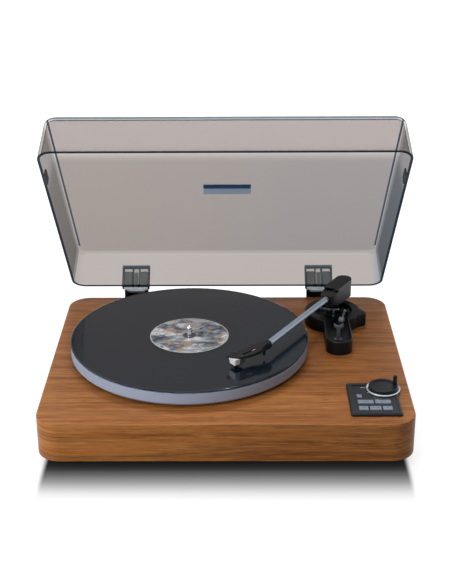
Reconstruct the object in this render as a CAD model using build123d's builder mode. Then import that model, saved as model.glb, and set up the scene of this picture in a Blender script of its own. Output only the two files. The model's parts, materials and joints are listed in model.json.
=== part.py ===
from build123d import *
from math import cos, radians, sin, tan
import os

# Belt-drive record player with a hinged clear lid, shown open.
# The record is on the platter and the tonearm is over it.
# Millimetres, +Z up, front towards -Y. The origin is on the floor below the
# middle of the whole player, whose open lid reaches behind the plinth.

# ---------- driving dimensions ----------
foot_height = 11.5
foot_radius = 19.0
foot_inset = 48.0               # foot centre from the plinth's sides
foot_recess = 3.0               # depth of the screw recess in a foot
foot_screw_radius = 2.2
foot_screw_head = 4.2

plinth_width = 438.0
plinth_depth = 356.0
plinth_height = 48.5
plinth_corner = 28.0
plinth_wall = 18.0
deck_thickness = 12.0
plinth_edge = 1.2               # rounding of the plinth's long edges
ledge_width = 9.0               # rabbet that carries the bottom cover
cover_thickness = 3.0
cover_clearance = 0.5
cover_screw_radius = 2.0
cover_screw_head = 3.4
cover_screw_cap = 1.5
cover_screw_length = 14.0

spindle_x = -47.0               # from the plinth's centre
spindle_y = 11.0
platter_height = 15.2
platter_inset = 0.5             # its rim inside the record's
platter_gap = 3.0               # platter rim above the deck
platter_top = 4.0               # thickness of its top wall
rim_wall = 7.0
mat_thickness = 1.9
mat_inset = 3.0                 # mat's edge inside the platter's
record_radius = 150.5
record_thickness = 1.4
groove_depth = 0.3              # the grooved band lies below the edge bead
bead_width = 2.5
label_radius = 50.0
label_thickness = 0.15
label_land_radius = 52.5
record_hole_radius = 3.65
spindle_seat_radius = 3.6
spindle_tip_radius = 3.43       # a lead-in for the record's hole
spindle_tip_length = 14.0       # free end above the record
drive_ring_radius = 85.0
drive_ring_wall = 5.0
drive_ring_height = 9.5
hub_radius = 15.0
shaft_radius = 4.0
bush_radius = 7.0
bearing_radius = 10.0
bearing_flange_radius = 19.0
bearing_flange = 2.0
bearing_depth = 36.0            # below the deck
bearing_floor = 3.0
thrust_ball_radius = 2.5
running_fit = 0.03              # radial, shaft in hole
assembly_gap = 0.3              # between faces that must not rub

pulley_distance = 112.0         # from the spindle
pulley_bearing = 135.0          # its direction from the spindle, degrees
pulley_radius = 5.5
pulley_flange_radius = 7.2
pulley_flange = 1.2
belt_thickness = 0.7
belt_width = 4.0
belt_height = 6.0               # belt's middle above the deck
motor_radius = 17.5
motor_height = 23.0
motor_shaft_radius = 1.0
motor_plate = 2.0
motor_plate_size = 52.0
motor_screw_spread = 20.0       # from the pulley's axis, each way
deck_screw_radius = 1.5
deck_screw_head = 2.6
deck_screw_cap = 1.4
deck_screw_bite = 6.0           # length in the deck
motor_hole_radius = 12.0        # opening in the deck for the pulley

mount_width = 188.5             # tonearm pivot to the right of the spindle
mount_depth = 92.0              # and behind it
arm_heading = -121.1            # direction of the tube from the pivot, degrees
arm_axis_height = 37.0          # tube axis above the deck
tube_radius = 4.0
tube_front = 175.5              # from the pivot
tube_back = 14.0                # behind the pivot
park_swing = 32.05              # swing from the record to the arm rest, degrees
offset_angle = 23.0
stylus_reach = 50.5             # from the headshell's root, along it
screw_setback = 7.5
screw_y = 6.35                  # half the standard 12.7 mm spacing
collar_length = 3.3
collar_radius = 5.4
shell_width = 18.0
shell_length = 57.0
shell_corner = 47.0             # near front corner, from the collar
root_half = 4.4                 # half width of the headshell at the collar
shell_root = 4.4                # its top above the tube axis at the collar
shell_drop = 0.6                # and below it over the cartridge
shell_thickness = 2.0
shell_rib = 1.2                 # width of the ribs along its sides
shell_side = 3.4                # height of its sides
shell_rib_end = 36.0
shell_slope = 24.0              # where the slope down from the collar ends
shell_window = 22.0
shell_window_width = 5.2
shell_window_x = 28.5
shell_lug = 7.6
cartridge_length = 17.0
cartridge_width = 14.5
cartridge_foot_width = 9.5
cartridge_height = 8.2
holder_height = 3.2

housing_width = 21.0
housing_back = 42.5             # behind the pivot
housing_front = 19.5
visor_front = 6.0               # front edge of its roof
visor_thickness = 2.2
visor_recess = 3.0
visor_arc = 14.0                # radius of the roof's hollow front edge
housing_wall = 2.0
housing_below = 13.0            # below the tube axis
housing_above = 12.0            # above the tube axis
yoke_thickness = 2.0
yoke_width = 13.6
trunnion_radius = 1.5
arm_shaft_radius = 3.0
arm_post_radius = 8.8
counterweight_length = 23.0

base_radius = 36.7
base_side_offset = 0.5          # base's centre to the left of the pivot
base_front_offset = 6.8         # and in front of it
base_height = 18.5
well_radius = 26.0
well_depth = 10.0
base_screw_inset = 4.5          # from the well's wall
tongue_width = 33.5
tongue_side_offset = 2.7        # tongue to the right of the base's centre
tongue_length = 101.2           # from the base's centre to its front
tongue_lip = 1.6
tongue_recess = 8.0
base_edge = 1.5
lobe_size = 24.0
lobe_reach = 29.5               # shoulder's middle from the base's centre
lobe_bearing = -14.0
lobe_turn = 33.0
lobe_corner = 3.0
flute_pitch = 3.2
flute_radius = 0.9
well_reach = 25.0               # well runs this far in front of its circle
lever_ear = 2.0
lever_ear_gap = 7.0
lever_ear_length = 7.0
lever_knob_width = 6.2
yoke_plate = 2.4
yoke_length = 13.0
yoke_ear_length = 8.0
housing_nose = 6.5              # half width of the nose
housing_hollow = 44.0
housing_hollow_middle = -16.5
screw_slot = 2.6
stylus_gap = 0.35
knob_shaft_radius = 3.0
bumper_thickness = 2.5
bumper_height = 8.0
bumper_rest = 0.2               # pad above the deck when the lid is closed
rest_distance = 84.0            # arm rest from the pivot
rest_width = 12.0
rest_depth = 5.0
rest_stem = 4.0
rest_clearance = 0.4
lift_distance = 37.0            # lift bar from the pivot
lift_heading = -92.3
lift_bar_size = 1.6
lift_rod_radius = 1.2
lift_guide_radius = 2.7
lift_guide_height = 14.5
lever_side_offset = 15.0        # lever's shaft to the right of the pivot
lever_front_offset = 23.0       # and in front of it
lever_height = 22.5             # lever shaft above the deck
lever_turn = -14.0
lever_shaft_radius = 1.5
lever_reach = 29.0
lever_knob_radius = 3.1

panel_side_inset = 45.25        # its centre from the plinth's right side
panel_front_inset = 55.75       # and from the plinth's front
panel_width = 59.5
panel_depth = 75.5
panel_height = 4.0
panel_corner = 3.0
panel_bevel = 1.4
panel_rim = 6.0                 # left rim, the others are narrower
panel_front_rim = 4.2
panel_recess = 1.0
panel_skirt = 9.0               # depth of the tray below the deck
panel_skirt_wall = 2.0
panel_tray_width = 50.0
panel_tray_depth = 68.0
board_thickness = 1.6
selector_side_offset = 13.25    # selector to the right of the panel's centre
selector_back_offset = 22.25    # and behind it
selector_radius = 20.3
ring_lip = 1.5                  # overhang of the ring over the panel
knob_radius = 17.6
knob_height = 4.9
knob_dish_radius = 12.8
knob_dish_depth = 0.7
knob_tab_height = 9.9
knob_tab_width = 4.0
knob_tab_depth = 4.4            # across the knob's rim
knob_tab_bearing = 18.0
button_rise = 1.4               # above the recessed panel
front_row_depth = 8.3
middle_row_depth = 7.6
button_gap = 1.8
button_clearance = 0.35
button_travel = 0.8
button_row_offset = 19.75       # rows start to the left of the panel's centre
front_row_offset = 24.05        # rows in front of and behind its centre
middle_row_offset = 8.95
single_row_offset = 5.05
front_row_widths = (11.0, 13.2, 11.0)
middle_row_widths = (18.4, 18.4)
single_width = 6.0
single_depth = 6.6

lid_side_inset = 3.5            # lid's rim inside the plinth's sides
lid_front_inset = 1.0
lid_height = 53.0
lid_wall = 3.0
lid_draft = 4.8                 # each side leans in by this much
lid_corner = 18.0
lid_top_edge = 7.0
lid_rest_gap = 2.0              # rim above the deck when closed
lid_back_inset = 2.0
lid_open_angle = 49.0
bumper_length = 20.0
bumper_from_back = 283.0
hinge_inset = 87.0              # hinge's middle from the lid's side
hinge_behind = 15.3             # pin axis behind the plinth
hinge_above = 8.0               # pin axis above the deck
hinge_pin_radius = 2.0
knuckle_radius = 5.0
ear_radius = 6.0
ear_thickness = 4.0
bracket_width = 33.0
bracket_drop = 24.0
bracket_plate = 3.0
bracket_top_gap = 1.4           # plate's top below the deck
bracket_web_gap = 0.5           # rear web below the knuckle
socket_width = 38.0
socket_height = 33.0
socket_depth = 9.5
socket_wall = 2.0
socket_rib = 1.6
socket_middle = 7.0
leaf_reach = 24.0
leaf_thickness = 4.4
leaf_clearance = 0.3

jack_plate_x = -45.0
jack_plate_width = 96.0
jack_plate_height = 26.0
jack_plate_thickness = 2.0
jack_plate_rise = 22.0          # its centre above the plinth's bottom
jack_window_margin = 4.0
rca_radius = 4.15
rca_length = 9.0
rca_flange_radius = 6.0
rca_spacing = 16.0
dc_radius = 5.5
dc_bore = 2.75
switch_travel = 4.0
main_board_width = 100.0
main_board_depth = 62.0
main_board_rise = 8.0           # above the bottom cover

# ---------- places worked out from them ----------
deck_z = foot_height + plinth_height
platter_radius = record_radius - platter_inset
mat_radius = platter_radius - mat_inset
pivot_x = spindle_x + mount_width
pivot_y = spindle_y + mount_depth
base_x = pivot_x - base_side_offset
base_y = pivot_y - base_front_offset
tongue_x = base_x + tongue_side_offset
tongue_front = base_y - tongue_length
lever_x = pivot_x + lever_side_offset
lever_y = pivot_y - lever_front_offset
panel_x = plinth_width / 2 - panel_side_inset
panel_y = panel_front_inset - plinth_depth / 2
selector_x = panel_x + selector_side_offset
selector_y = panel_y + selector_back_offset
lid_width = plinth_width - 2 * lid_side_inset
lid_depth = plinth_depth - lid_front_inset - lid_back_inset
hinge_spacing = lid_width - 2 * hinge_inset
rim_y = -(hinge_behind + lid_back_inset)      # lid's back rim, closed, from the pin
rim_z = lid_rest_gap - hinge_above
open_tilt = radians(lid_open_angle)
open_reach = (
    hinge_behind
    + (rim_y - lid_draft) * cos(open_tilt)
    + (rim_z + lid_height) * sin(open_tilt)
)
plinth_y = -open_reach / 2

back_y = plinth_y + plinth_depth / 2
cavity_width = plinth_width - 2 * plinth_wall
cavity_depth = plinth_depth - 2 * plinth_wall

platter_z = deck_z + platter_gap
platter_top_z = platter_z + platter_height
mat_top_z = platter_top_z + mat_thickness
record_top_z = mat_top_z + record_thickness
axis_z = deck_z + arm_axis_height
base_top_z = deck_z + base_height
well_z = base_top_z - well_depth
hinge_y = back_y + hinge_behind
hinge_z = deck_z + hinge_above
belt_z = deck_z + belt_height
motor_top_z = deck_z - deck_thickness - motor_plate
bearing_bottom_z = deck_z - bearing_depth


def level(height, x=0.0, y=0.0, heading=0.0):
    """Horizontal plane at a height, placed from the plinth's centre and turned."""
    turn = radians(heading)
    return Plane(
        origin=(x, plinth_y + y, height),
        x_dir=(cos(turn), sin(turn), 0),
        z_dir=(0, 0, 1),
    )


def section(x=0.0, y=0.0):
    """Upright plane through a vertical axis: sketch x is radius, sketch y is height."""
    return Plane(origin=(x, plinth_y + y, 0), x_dir=(1, 0, 0), z_dir=(0, -1, 0))


def upright_axis(x, y):
    return Axis((x, plinth_y + y, 0), (0, 0, 1))


def polar(x, y, distance, heading):
    """Point at a distance and heading from another point."""
    turn = radians(heading)
    return x + distance * cos(turn), y + distance * sin(turn)


# ---------- plinth and what closes it ----------
def cover_screw_points():
    """Screws through the middle of the ledge, three along each long side."""
    across = (cavity_width + ledge_width) / 2
    along = (cavity_depth + ledge_width) / 2
    points = [(x, y) for x in (-across + plinth_corner, 0, across - plinth_corner) for y in (-along, along)]
    return points + [(x, 0) for x in (-across, across)]


cover_top_z = foot_height + cover_thickness
pulley_x, pulley_y = polar(spindle_x, spindle_y, pulley_distance, pulley_bearing)
ledge_corner = plinth_corner - plinth_wall + ledge_width
base_screw_points = [
    polar(base_x, base_y, well_radius - base_screw_inset, heading) for heading in (50, 130, 190)
]
motor_screw_points = [
    (pulley_x + x, pulley_y + y)
    for x in (-motor_screw_spread, motor_screw_spread)
    for y in (-motor_screw_spread, motor_screw_spread)
]
jack_face = Plane(
    origin=(jack_plate_x, back_y, foot_height + jack_plate_rise),
    x_dir=(-1, 0, 0),
    z_dir=(0, 1, 0),
)

with BuildPart() as plinth:
    with BuildSketch(level(foot_height)):
        RectangleRounded(plinth_width, plinth_depth, plinth_corner)
    extrude(amount=plinth_height)
    fillet(plinth.edges().group_by(Axis.Z)[-1], radius=plinth_edge)
    fillet(plinth.edges().group_by(Axis.Z)[0], radius=plinth_edge)
    with BuildSketch(level(foot_height)):
        RectangleRounded(cavity_width, cavity_depth, plinth_corner - plinth_wall)
    extrude(amount=plinth_height - deck_thickness, mode=Mode.SUBTRACT)
    with BuildSketch(level(foot_height)):
        RectangleRounded(
            cavity_width + 2 * ledge_width, cavity_depth + 2 * ledge_width, ledge_corner
        )
    extrude(amount=cover_thickness, mode=Mode.SUBTRACT)
    with BuildSketch(level(cover_top_z)):
        with Locations(*cover_screw_points()):
            Circle(cover_screw_radius)
    extrude(amount=cover_screw_length, mode=Mode.SUBTRACT)
    # holes in the deck: platter bearing, motor pulley, tonearm post
    with BuildSketch(level(deck_z)):
        with Locations((spindle_x, spindle_y)):
            Circle(bearing_radius + assembly_gap)
        with Locations((pulley_x, pulley_y)):
            Circle(motor_hole_radius)
        with Locations((pivot_x, pivot_y)):
            Circle(arm_post_radius + assembly_gap)
        with Locations((panel_x, panel_y)):
            Rectangle(panel_tray_width + 2 * assembly_gap, panel_tray_depth + 2 * assembly_gap)
    extrude(amount=-deck_thickness, mode=Mode.SUBTRACT)
    # pilot holes for the tonearm base's and the motor plate's screws
    with BuildSketch(level(deck_z)):
        with Locations(*base_screw_points):
            Circle(deck_screw_radius)
    extrude(amount=-deck_screw_bite, mode=Mode.SUBTRACT)
    with BuildSketch(level(deck_z - deck_thickness)):
        with Locations(*motor_screw_points):
            Circle(deck_screw_radius)
    extrude(amount=deck_screw_bite, mode=Mode.SUBTRACT)
    # window for the jacks in the back wall
    with BuildSketch(jack_face):
        Rectangle(
            jack_plate_width - 2 * jack_window_margin,
            jack_plate_height - 2 * jack_window_margin,
        )
    extrude(amount=-plinth_wall, mode=Mode.SUBTRACT)

board_y = (cavity_depth - main_board_depth) / 2 - 4
foot_x = plinth_width / 2 - foot_inset
foot_y = plinth_depth / 2 - foot_inset
foot_points = [(x, y) for x in (-foot_x, foot_x) for y in (-foot_y, foot_y)]

with BuildPart() as bottom_cover:
    with BuildSketch(level(foot_height)):
        RectangleRounded(
            cavity_width + 2 * (ledge_width - cover_clearance),
            cavity_depth + 2 * (ledge_width - cover_clearance),
            ledge_corner,
        )
        with Locations(*cover_screw_points()):
            Circle(cover_screw_radius + cover_clearance, mode=Mode.SUBTRACT)
        with Locations(*foot_points):
            Circle(foot_screw_radius, mode=Mode.SUBTRACT)
        # vent slots under the motor
        with Locations(*[(pulley_x, pulley_y + step * 6.0) for step in range(-2, 3)]):
            SlotOverall(34.0, 2.4, mode=Mode.SUBTRACT)
    extrude(amount=cover_thickness)
    # standoffs for the main board
    with BuildSketch(level(cover_top_z, jack_plate_x, board_y)):
        with GridLocations(main_board_width - 10, main_board_depth - 10, 2, 2):
            Circle(3.0)
    extrude(amount=main_board_rise)

with BuildPart() as bottom_screws:
    with BuildSketch(level(foot_height)):
        with Locations(*cover_screw_points()):
            Circle(cover_screw_head)
    extrude(amount=-cover_screw_cap)
    with BuildSketch(level(foot_height)):
        with Locations(*cover_screw_points()):
            Circle(cover_screw_radius)
    extrude(amount=cover_thickness + cover_screw_length)


def make_foot(x, y):
    """Rubber foot with a soft lower edge and a recess for its screw."""
    with BuildPart() as foot:
        with BuildSketch(section(x, y)):
            with BuildLine():
                Polyline(
                    (foot_screw_radius, foot_height),
                    (foot_radius, foot_height),
                    (foot_radius, 2.0),
                    (foot_radius - 2.0, 0),
                    (foot_screw_head, 0),
                    (foot_screw_head, foot_recess),
                    (foot_screw_radius, foot_recess),
                    close=True,
                )
            make_face()
        revolve(axis=upright_axis(x, y))
    return foot


foot_names = ("foot_front_left", "foot_rear_left", "foot_front_right", "foot_rear_right")
feet = {name: make_foot(x, y) for name, (x, y) in zip(foot_names, foot_points)}

with BuildPart() as foot_screws:
    with BuildSketch(level(foot_recess)):
        with Locations(*foot_points):
            Circle(foot_screw_head)
    extrude(amount=-foot_recess / 2)
    with BuildSketch(level(foot_recess)):
        with Locations(*foot_points):
            Circle(foot_screw_radius)
    extrude(amount=foot_height - foot_recess + cover_thickness + 3)

# ---------- platter, its bearing and the record ----------
spindle_section = section(spindle_x, spindle_y)
spindle_axis = upright_axis(spindle_x, spindle_y)
bearing_inner_z = bearing_bottom_z + bearing_floor
ball_top_z = bearing_inner_z + 2 * thrust_ball_radius
shaft_bottom_z = ball_top_z + running_fit

with BuildPart() as bearing_housing:
    with BuildSketch(spindle_section):
        with BuildLine():
            Polyline(
                (0, bearing_bottom_z),
                (bearing_radius, bearing_bottom_z),
                (bearing_radius, deck_z),
                (bearing_flange_radius, deck_z),
                (bearing_flange_radius, deck_z + bearing_flange),
                (bush_radius, deck_z + bearing_flange),
                (bush_radius, ball_top_z),
                (thrust_ball_radius + running_fit, ball_top_z),
                (thrust_ball_radius + running_fit, bearing_inner_z),
                (0, bearing_inner_z),
                close=True,
            )
        make_face()
    revolve(axis=spindle_axis)

with BuildPart() as bearing_bush:
    with BuildSketch(level(ball_top_z, spindle_x, spindle_y)):
        Circle(bush_radius)
        Circle(shaft_radius + running_fit, mode=Mode.SUBTRACT)
    extrude(amount=deck_z + bearing_flange - ball_top_z)

with BuildPart() as thrust_ball:
    with Locations((spindle_x, plinth_y + spindle_y, bearing_inner_z + thrust_ball_radius)):
        Sphere(thrust_ball_radius)

tip_z = record_top_z + spindle_tip_length
with BuildPart() as spindle:
    with BuildSketch(spindle_section):
        with BuildLine():
            Polyline(
                (0, shaft_bottom_z),
                (shaft_radius, shaft_bottom_z),
                (shaft_radius, platter_top_z),
                (spindle_seat_radius, platter_top_z),
                (spindle_seat_radius, record_top_z),
                (spindle_tip_radius, record_top_z),
                (spindle_tip_radius, tip_z - spindle_tip_radius),
            )
            RadiusArc(
                (spindle_tip_radius, tip_z - spindle_tip_radius), (0, tip_z), -spindle_tip_radius
            )
            Line((0, tip_z), (0, shaft_bottom_z))
        make_face()
    revolve(axis=spindle_axis)

hub_z = deck_z + bearing_flange + 1.0
ring_z = platter_top_z - platter_top - drive_ring_height
with BuildPart() as platter:
    with BuildSketch(spindle_section):
        with BuildLine():
            Polyline(
                (shaft_radius, platter_top_z),
                (platter_radius - 1.0, platter_top_z),
                (platter_radius, platter_top_z - 1.0),
                (platter_radius, platter_z + 2.5),
                (platter_radius - 2.0, platter_z),
                (platter_radius - rim_wall, platter_z),
                (platter_radius - rim_wall, platter_top_z - platter_top),
                (drive_ring_radius, platter_top_z - platter_top),
                (drive_ring_radius, ring_z),
                (drive_ring_radius - drive_ring_wall, ring_z),
                (drive_ring_radius - drive_ring_wall, platter_top_z - platter_top),
                (hub_radius, platter_top_z - platter_top),
                (hub_radius, hub_z),
                (shaft_radius, hub_z),
                close=True,
            )
        make_face()
    revolve(axis=spindle_axis)
    # ribs below the top wall, from the hub to the drive ring
    rib_length = drive_ring_radius - drive_ring_wall - hub_radius
    with BuildSketch(level(platter_top_z - platter_top, spindle_x, spindle_y)):
        with PolarLocations(hub_radius + rib_length / 2, 6):
            Rectangle(rib_length + 0.4, 3.0)
    extrude(amount=-4.0)

with BuildPart() as platter_mat:
    with BuildSketch(level(platter_top_z, spindle_x, spindle_y)):
        Circle(mat_radius)
        Circle(spindle_seat_radius + 0.4, mode=Mode.SUBTRACT)
    extrude(amount=mat_thickness)

groove_z = record_top_z - groove_depth
land_z = record_top_z - label_thickness
with BuildPart() as record_disc:
    with BuildSketch(spindle_section):
        with BuildLine():
            Polyline(
                (record_hole_radius, mat_top_z),
                (record_radius - 0.6, mat_top_z),
                (record_radius, mat_top_z + 0.6),
                (record_radius, record_top_z - 0.3),
                (record_radius - 0.8, record_top_z),
                (record_radius - bead_width, groove_z),
                (label_land_radius + 1.0, groove_z),
                (label_land_radius, land_z),
                (record_hole_radius, land_z),
                close=True,
            )
        make_face()
    revolve(axis=spindle_axis)

with BuildPart() as record_label:
    with BuildSketch(level(land_z, spindle_x, spindle_y)):
        Circle(label_radius)
        Circle(record_hole_radius, mode=Mode.SUBTRACT)
    extrude(amount=label_thickness)

# ---------- motor, pulley and belt ----------
pulley_bottom_z = belt_z - belt_width / 2 - pulley_flange - 0.5
pulley_top_z = belt_z + belt_width / 2 + pulley_flange + 0.5
motor_bottom_z = motor_top_z - motor_height

with BuildPart() as motor_mount:
    with BuildSketch(level(motor_top_z, pulley_x, pulley_y)):
        RectangleRounded(motor_plate_size, motor_plate_size, 6.0)
        Circle(3.6, mode=Mode.SUBTRACT)
        with GridLocations(2 * motor_screw_spread, 2 * motor_screw_spread, 2, 2):
            Circle(deck_screw_radius, mode=Mode.SUBTRACT)
    extrude(amount=motor_plate)

with BuildPart() as motor:
    with BuildSketch(level(motor_bottom_z, pulley_x, pulley_y)):
        Circle(motor_radius)
    extrude(amount=motor_height)
    chamfer(motor.edges().group_by(Axis.Z)[0], length=1.5)
    # boss that centres it in its plate
    with BuildSketch(level(motor_top_z, pulley_x, pulley_y)):
        Circle(3.5)
    extrude(amount=motor_plate)
    with BuildSketch(level(motor_top_z + motor_plate, pulley_x, pulley_y)):
        Circle(motor_shaft_radius + running_fit)
    extrude(amount=-motor_height, mode=Mode.SUBTRACT)

with BuildPart() as motor_shaft:
    with BuildSketch(level(motor_bottom_z + 4, pulley_x, pulley_y)):
        Circle(motor_shaft_radius)
    extrude(amount=pulley_top_z - motor_bottom_z - 4)

with BuildPart() as motor_pulley:
    with BuildSketch(section(pulley_x, pulley_y)):
        with BuildLine():
            Polyline(
                (motor_shaft_radius, pulley_bottom_z),
                (pulley_flange_radius, pulley_bottom_z),
                (pulley_flange_radius, pulley_bottom_z + pulley_flange),
                (pulley_radius, pulley_bottom_z + pulley_flange),
                (pulley_radius + 0.25, belt_z),
                (pulley_radius, pulley_top_z - pulley_flange),
                (pulley_flange_radius, pulley_top_z - pulley_flange),
                (pulley_flange_radius, pulley_top_z),
                (motor_shaft_radius, pulley_top_z),
                close=True,
            )
        make_face()
    revolve(axis=upright_axis(pulley_x, pulley_y))

# flat belt round the platter's drive ring and the pulley
belt_ring = drive_ring_radius + assembly_gap
belt_turn = pulley_radius + 0.25 + assembly_gap
with BuildPart() as drive_belt:
    with BuildSketch(level(belt_z - belt_width / 2)):
        with Locations((spindle_x, spindle_y)):
            Circle(belt_ring + belt_thickness)
        with Locations((pulley_x, pulley_y)):
            Circle(belt_turn + belt_thickness)
        make_hull()
    extrude(amount=belt_width)
    with BuildSketch(level(belt_z - belt_width / 2)):
        with Locations((spindle_x, spindle_y)):
            Circle(belt_ring)
        with Locations((pulley_x, pulley_y)):
            Circle(belt_turn)
        make_hull()
    extrude(amount=belt_width, mode=Mode.SUBTRACT)

# ---------- tonearm base ----------
tongue_radius = tongue_width / 2
tongue_round_y = tongue_front + tongue_radius
tongue_run = base_y - tongue_round_y
lobe_x, lobe_y = polar(base_x, base_y, lobe_reach, lobe_bearing)
flute_y = -(lobe_size + flute_radius) / 2
floor_z = base_top_z - tongue_recess
well_front = base_y - well_radius - well_reach
lever_z = deck_z + lever_height
lever_angle = radians(lever_turn)
lever_side = Plane(
    origin=(lever_x, plinth_y + lever_y, lever_z),
    x_dir=(-sin(lever_angle), cos(lever_angle), 0),
    z_dir=(cos(lever_angle), sin(lever_angle), 0),
)
guide_x, guide_y = polar(pivot_x, pivot_y, lift_distance, lift_heading)

with BuildPart() as arm_base:
    with BuildSketch(level(deck_z)):
        with Locations((base_x, base_y)):
            Circle(base_radius)
        with Locations((tongue_x, tongue_round_y)):
            Circle(tongue_radius)
        with Locations((tongue_x, tongue_round_y + tongue_run / 2)):
            Rectangle(tongue_width, tongue_run)
        with Locations(Pos(lobe_x, lobe_y) * Rot(0, 0, lobe_turn)):
            RectangleRounded(lobe_size, lobe_size, lobe_corner)
    extrude(amount=base_height)
    fillet(arm_base.edges().group_by(Axis.Z)[-1], radius=base_edge)
    # shallow tray in the tongue, deep well round the pivot
    with BuildSketch(level(base_top_z)):
        with Locations((tongue_x, tongue_round_y)):
            Circle(tongue_radius - tongue_lip)
        with Locations((tongue_x, tongue_round_y + tongue_run / 2)):
            Rectangle(tongue_width - 2 * tongue_lip, tongue_run)
        with Locations((base_x, base_y)):
            Circle(well_radius)
    extrude(amount=-tongue_recess, mode=Mode.SUBTRACT)
    with BuildSketch(level(base_top_z)):
        with Locations((base_x, base_y)):
            Circle(well_radius)
        with Locations((tongue_x, (well_front + base_y) / 2)):
            RectangleRounded(tongue_width - 4 * tongue_lip, base_y - well_front, 3.0)
    extrude(amount=-well_depth, mode=Mode.SUBTRACT)
    # flutes down the shoulder's front
    with BuildSketch(level(deck_z, lobe_x, lobe_y, lobe_turn)):
        with Locations((2 * flute_pitch, flute_y)):
            with GridLocations(flute_pitch, 0, 3, 1):
                Circle(flute_radius)
    extrude(amount=base_height - base_edge - 0.5, mode=Mode.SUBTRACT)
    # bore for the tonearm post, and the screw holes
    with BuildSketch(level(deck_z, pivot_x, pivot_y)):
        Circle(arm_post_radius)
    extrude(amount=base_height, mode=Mode.SUBTRACT)
    with BuildSketch(level(deck_z)):
        with Locations(*base_screw_points):
            Circle(deck_screw_radius)
    extrude(amount=base_height, mode=Mode.SUBTRACT)
    # ears for the cueing lever's shaft, standing in the well
    with BuildSketch(level(well_z, lever_x, lever_y, lever_turn)):
        with GridLocations(lever_ear_gap, 0, 2, 1):
            Rectangle(lever_ear, lever_ear_length)
    extrude(amount=lever_z - well_z + 3.0)
    with BuildSketch(lever_side):
        Circle(lever_shaft_radius + running_fit)
    extrude(amount=lever_ear_gap, both=True, mode=Mode.SUBTRACT)

# screws through the arm base into the deck, and through the motor plate from below
with BuildPart() as deck_screws:
    with BuildSketch(level(well_z)):
        with Locations(*base_screw_points):
            Circle(deck_screw_head)
    extrude(amount=deck_screw_cap)
    with BuildSketch(level(well_z)):
        with Locations(*base_screw_points):
            Circle(deck_screw_radius)
    extrude(amount=deck_z - deck_screw_bite - well_z)
    with BuildSketch(level(motor_top_z)):
        with Locations(*motor_screw_points):
            Circle(deck_screw_head)
    extrude(amount=-deck_screw_cap)
    with BuildSketch(level(motor_top_z)):
        with Locations(*motor_screw_points):
            Circle(deck_screw_radius)
    extrude(amount=motor_plate + deck_screw_bite)

# upright bearing that the tonearm turns in
post_bottom_z = deck_z - deck_thickness + 2
post_top_z = axis_z - housing_below - yoke_plate - 1.2
with BuildPart() as arm_post:
    with BuildSketch(level(post_bottom_z, pivot_x, pivot_y)):
        Circle(arm_post_radius)
    extrude(amount=post_top_z - post_bottom_z)
    with BuildSketch(level(well_z, pivot_x, pivot_y)):
        Circle(arm_post_radius + 3.0)
    extrude(amount=1.6)
    with BuildSketch(level(post_bottom_z, pivot_x, pivot_y)):
        Circle(arm_shaft_radius + running_fit)
    extrude(amount=post_top_z - post_bottom_z, mode=Mode.SUBTRACT)

# forked rest for the parked tube
park_heading = arm_heading + park_swing
rest_x, rest_y = polar(pivot_x, pivot_y, rest_distance, park_heading)
rest_top_z = axis_z - tube_radius - rest_clearance
with BuildPart() as arm_rest:
    with BuildSketch(level(floor_z, rest_x, rest_y, park_heading + 90)):
        RectangleRounded(rest_width - 2, rest_depth + 2, 1.5)
    extrude(amount=1.5)
    with BuildSketch(level(floor_z, rest_x, rest_y, park_heading + 90)):
        Rectangle(rest_stem, rest_depth)
    extrude(amount=rest_top_z - floor_z - 4.5)
    rest_face = Plane(
        origin=(rest_x, plinth_y + rest_y, 0),
        x_dir=(cos(radians(park_heading + 90)), sin(radians(park_heading + 90)), 0),
        z_dir=(cos(radians(park_heading)), sin(radians(park_heading)), 0),
    )
    with BuildSketch(rest_face):
        with BuildLine():
            Polyline(
                (-rest_stem / 2, rest_top_z - 5.5),
                (rest_stem / 2, rest_top_z - 5.5),
                (rest_width / 2, rest_top_z - 2.5),
                (rest_width / 2, rest_top_z),
                (rest_width / 2 - 0.8, rest_top_z),
                (1.0, rest_top_z - 2.6),
                (-1.0, rest_top_z - 2.6),
                (-rest_width / 2 + 0.8, rest_top_z),
                (-rest_width / 2, rest_top_z),
                (-rest_width / 2, rest_top_z - 2.5),
                close=True,
            )
        make_face()
    extrude(amount=rest_depth / 2, both=True)

# cueing lift: guide, curved bar on its rod, and lever
bar_top_z = axis_z - tube_radius - rest_clearance
bar_z = bar_top_z - lift_bar_size
with BuildPart() as lift_guide:
    with BuildSketch(level(well_z, guide_x, guide_y)):
        Circle(lift_guide_radius + 1.2)
    extrude(amount=2.0)
    with BuildSketch(level(well_z, guide_x, guide_y)):
        Circle(lift_guide_radius)
    extrude(amount=lift_guide_height)
    with BuildSketch(level(well_z, guide_x, guide_y)):
        Circle(lift_rod_radius + running_fit)
    extrude(amount=lift_guide_height, mode=Mode.SUBTRACT)

with BuildPart() as lift_bar:
    with BuildSketch(level(bar_z, pivot_x, pivot_y)):
        with BuildLine():
            CenterArc((0, 0), lift_distance, lift_heading + 12, -57)
        trace(line_width=lift_bar_size)
    extrude(amount=lift_bar_size)
    with BuildSketch(level(well_z + 1.0, guide_x, guide_y)):
        Circle(lift_rod_radius)
    extrude(amount=bar_z - well_z - 1.0)

with BuildPart() as cue_lever:
    with BuildSketch(lever_side):
        Circle(lever_shaft_radius)
    extrude(amount=lever_ear_gap / 2 + lever_ear / 2 + 0.5, both=True)
    with BuildSketch(lever_side):
        Circle(3.0)
        with Locations((-lever_reach / 2, 0.8)):
            Rectangle(lever_reach, 1.8)
    extrude(amount=1.0, both=True)
    with BuildSketch(lever_side.offset(-lever_knob_width / 2)):
        with Locations((-lever_reach, 1.2)):
            SlotOverall(3.2 * lever_knob_radius, 2 * lever_knob_radius)
    extrude(amount=lever_knob_width)
    fillet(cue_lever.edges().group_by(Axis.Y)[0], radius=0.8)

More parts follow.
